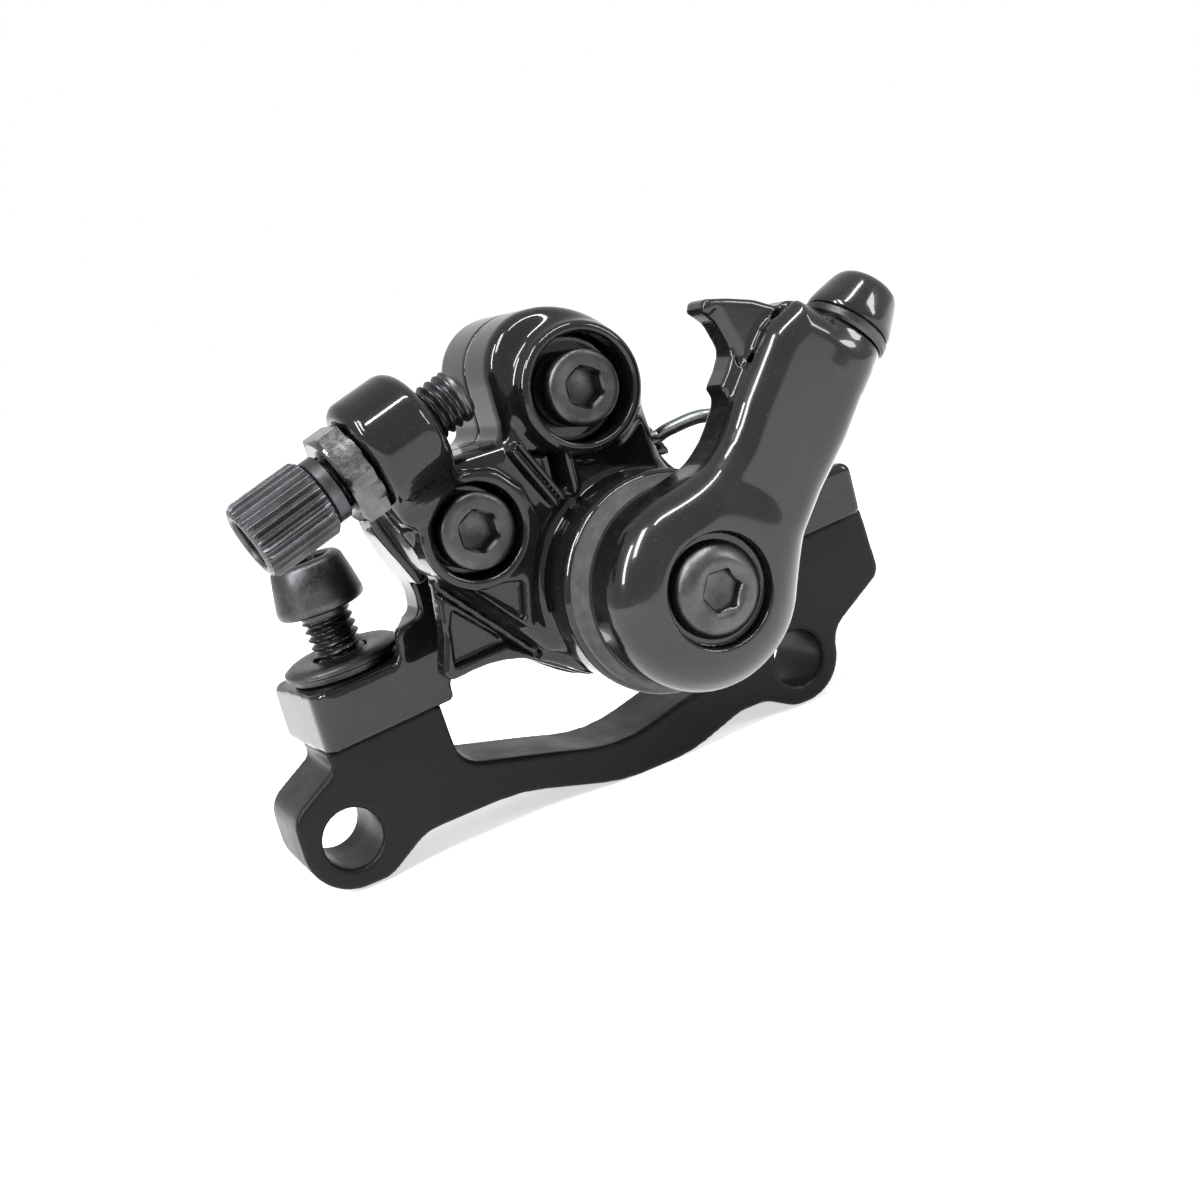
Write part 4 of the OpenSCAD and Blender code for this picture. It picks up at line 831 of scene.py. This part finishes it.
def spring_path():
    """Two turns of wire round the nose, a straight leg off it, and a smooth bend into the flank."""
    turns, leg_angle, radius = 2.1, math.radians(-25), 8.7
    hook_angle = leg_angle - 2 * math.pi * turns
    back, front = HOUSING_Y - SPRING_GAP - WIRE_R, ARM_BACK - SPRING_ROOM + SPRING_GAP + WIRE_R
    t = np.linspace(0, 1, 150)
    a = hook_angle + 2 * math.pi * turns * t
    coil = np.stack([PIVOT[0] + radius * np.cos(a), front + (back - front) * t,
                     PIVOT[1] + radius * np.sin(a)], 1)
    hook = coil[0] - np.outer(np.linspace(2.2, 0.4, 5), (0, 1, 0))
    start = np.array([PIVOT[0] + radius * math.cos(leg_angle), back,
                      PIVOT[1] + radius * math.sin(leg_angle)])
    way = np.array([-math.sin(leg_angle), 0, math.cos(leg_angle)])
    knots = [start + way * 11, start + way * 14.5 + (0, 1.9, 0),
             np.array([PIVOT[0] + 14.2, LOBE_Y - 2.6, PIVOT[1] + 14.2]),
             np.array([PIVOT[0] + 11.4, LOBE_Y - 1.2, PIVOT[1] + 15.7]),
             np.array([PIVOT[0] + 8, LOBE_Y + 1, PIVOT[1] + 15.2]),
             np.array([13.6, LOBE_Y + 1.9, 34.7]), np.array([11.8, LOBE_Y + 1.9, 34.7])]
    bend = []
    ends = [knots[0]] + knots + [knots[-1]]
    for a0, b0, c0, d0 in zip(ends, ends[1:], ends[2:], ends[3:]):
        w = np.linspace(0, 1, 8)[1:, None]
        bend.append(0.5 * (2 * b0 + (c0 - a0) * w + (2 * a0 - 5 * b0 + 4 * c0 - d0) * w ** 2
                           + (3 * b0 - a0 - 3 * c0 + d0) * w ** 3))
    straight = start + np.outer(np.linspace(0.5, 11, 14), way)
    return np.vstack([hook, coil, straight] + bend)


tube("wound_return_spring", spring_path(), WIRE_R, WIRE, "caliper", ("return_spring",), sides=20)


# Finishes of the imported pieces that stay

FINISHES = {
    "dust_seal": RUBBER, "adjuster_ring": RUBBER, "shaft_bushing": BRONZE, "thrust_washer": STEEL,
    "cam_shaft": STEEL, "cam_balls": BALL, "ball_cage": BRONZE, "piston": STEEL, "piston_magnet": MAGNET,
    "adjuster_magnet": MAGNET, "moving_pad_plate": PAD_PLATE, "fixed_pad_plate": PAD_PLATE,
    "moving_pad_lining": LINING, "fixed_pad_lining": LINING, "pad_adjuster": OXIDE_DULL}
for node, finish_of in FINISHES.items():
    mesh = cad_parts[node].data
    mesh.materials.clear()
    mesh.materials.append(finish_of)


# Floor, backdrop and light

def lit_stage():
    """A pale floor under the lowest point, a white world, and plain soft lamps."""
    floor_gap, half = 0.00002, 3.0
    low = min(cad_box[0][2], cad_box[1][2]) - floor_gap
    mesh = bpy.data.meshes.new("studio_floor")
    mesh.from_pydata([(-half, -half, low), (half, -half, low), (half, half, low), (-half, half, low)], [],
                     [(0, 1, 2, 3)])
    sheet = Sheet("pale_floor", Specular_IOR_Level=0.0, Emission_Strength=1.0)
    grain = sheet.noise(20.0, 2.0)
    seen = sheet.node("ShaderNodeLightPath", {}, out="Is Camera Ray")
    rays = seen.socket.node.outputs
    seen = seen.most(Value(sheet, rays["Is Glossy Ray"])).most(Value(sheet, rays["Is Transmission Ray"]))
    mesh.materials.append(sheet.finish(Base_Color=sheet.tint(grain, (0.90, 0.90, 0.90), (0.93, 0.93, 0.93)),
                                       Emission_Color=sheet.tint(seen, (0, 0, 0), (0.62, 0.62, 0.62)),
                                       Roughness=0.9))
    floor = bpy.data.objects.new("studio_floor", mesh)
    bpy.context.scene.collection.objects.link(floor)

    world = bpy.data.worlds.new("studio_white")
    bpy.context.scene.world = world
    world.use_nodes = True
    tree = world.node_tree
    tree.nodes.clear()
    rays = tree.nodes.new("ShaderNodeLightPath").outputs
    seen = rays["Is Camera Ray"]
    for kind in ("Is Transmission Ray", "Is Glossy Ray"):
        either = tree.nodes.new("ShaderNodeMath")
        either.operation = "MAXIMUM"
        tree.links.new(seen, either.inputs[0])
        tree.links.new(rays[kind], either.inputs[1])
        seen = either.outputs[0]
    strength = tree.nodes.new("ShaderNodeMapRange")
    lighting, behind = 0.45, 1.0
    strength.inputs["To Min"].default_value = lighting
    strength.inputs["To Max"].default_value = behind
    tree.links.new(seen, strength.inputs["Value"])
    back = tree.nodes.new("ShaderNodeBackground")
    back.inputs["Color"].default_value = (1, 1, 1, 1)
    tree.links.new(strength.outputs[0], back.inputs["Strength"])
    out = tree.nodes.new("ShaderNodeOutputWorld")
    tree.links.new(back.outputs[0], out.inputs[0])

    def lamp(name, place, towards, size, energy):
        """A rectangular soft lamp, size in metres, energy in watts."""
        light = bpy.data.lights.new(name, "AREA")
        light.shape = "RECTANGLE"
        light.size, light.size_y = size
        light.energy = energy
        holder = bpy.data.objects.new(name, light)
        bpy.context.scene.collection.objects.link(holder)
        back_way = np.array(place, float) - towards
        back_way /= np.linalg.norm(back_way)
        side = np.cross((0, 0, 1), back_way)
        side /= np.linalg.norm(side)
        stand(holder, side, np.cross(back_way, side), back_way, place)

    middle = np.array([0.005, -0.01, 0.022])
    lamp("window_left", (-0.55, -0.15, 0.42), middle, (0.07, 0.42), 5.0)
    lamp("strip_above", (0.10, -0.25, 0.62), middle, (0.45, 0.045), 4.0)
    lamp("soft_right", (0.50, -0.45, 0.30), middle, (0.10, 0.30), 2.0)
    lamp("high_left", (-0.33, -0.27, 0.55), middle, (0.10, 0.34), 4.0)


lit_stage()
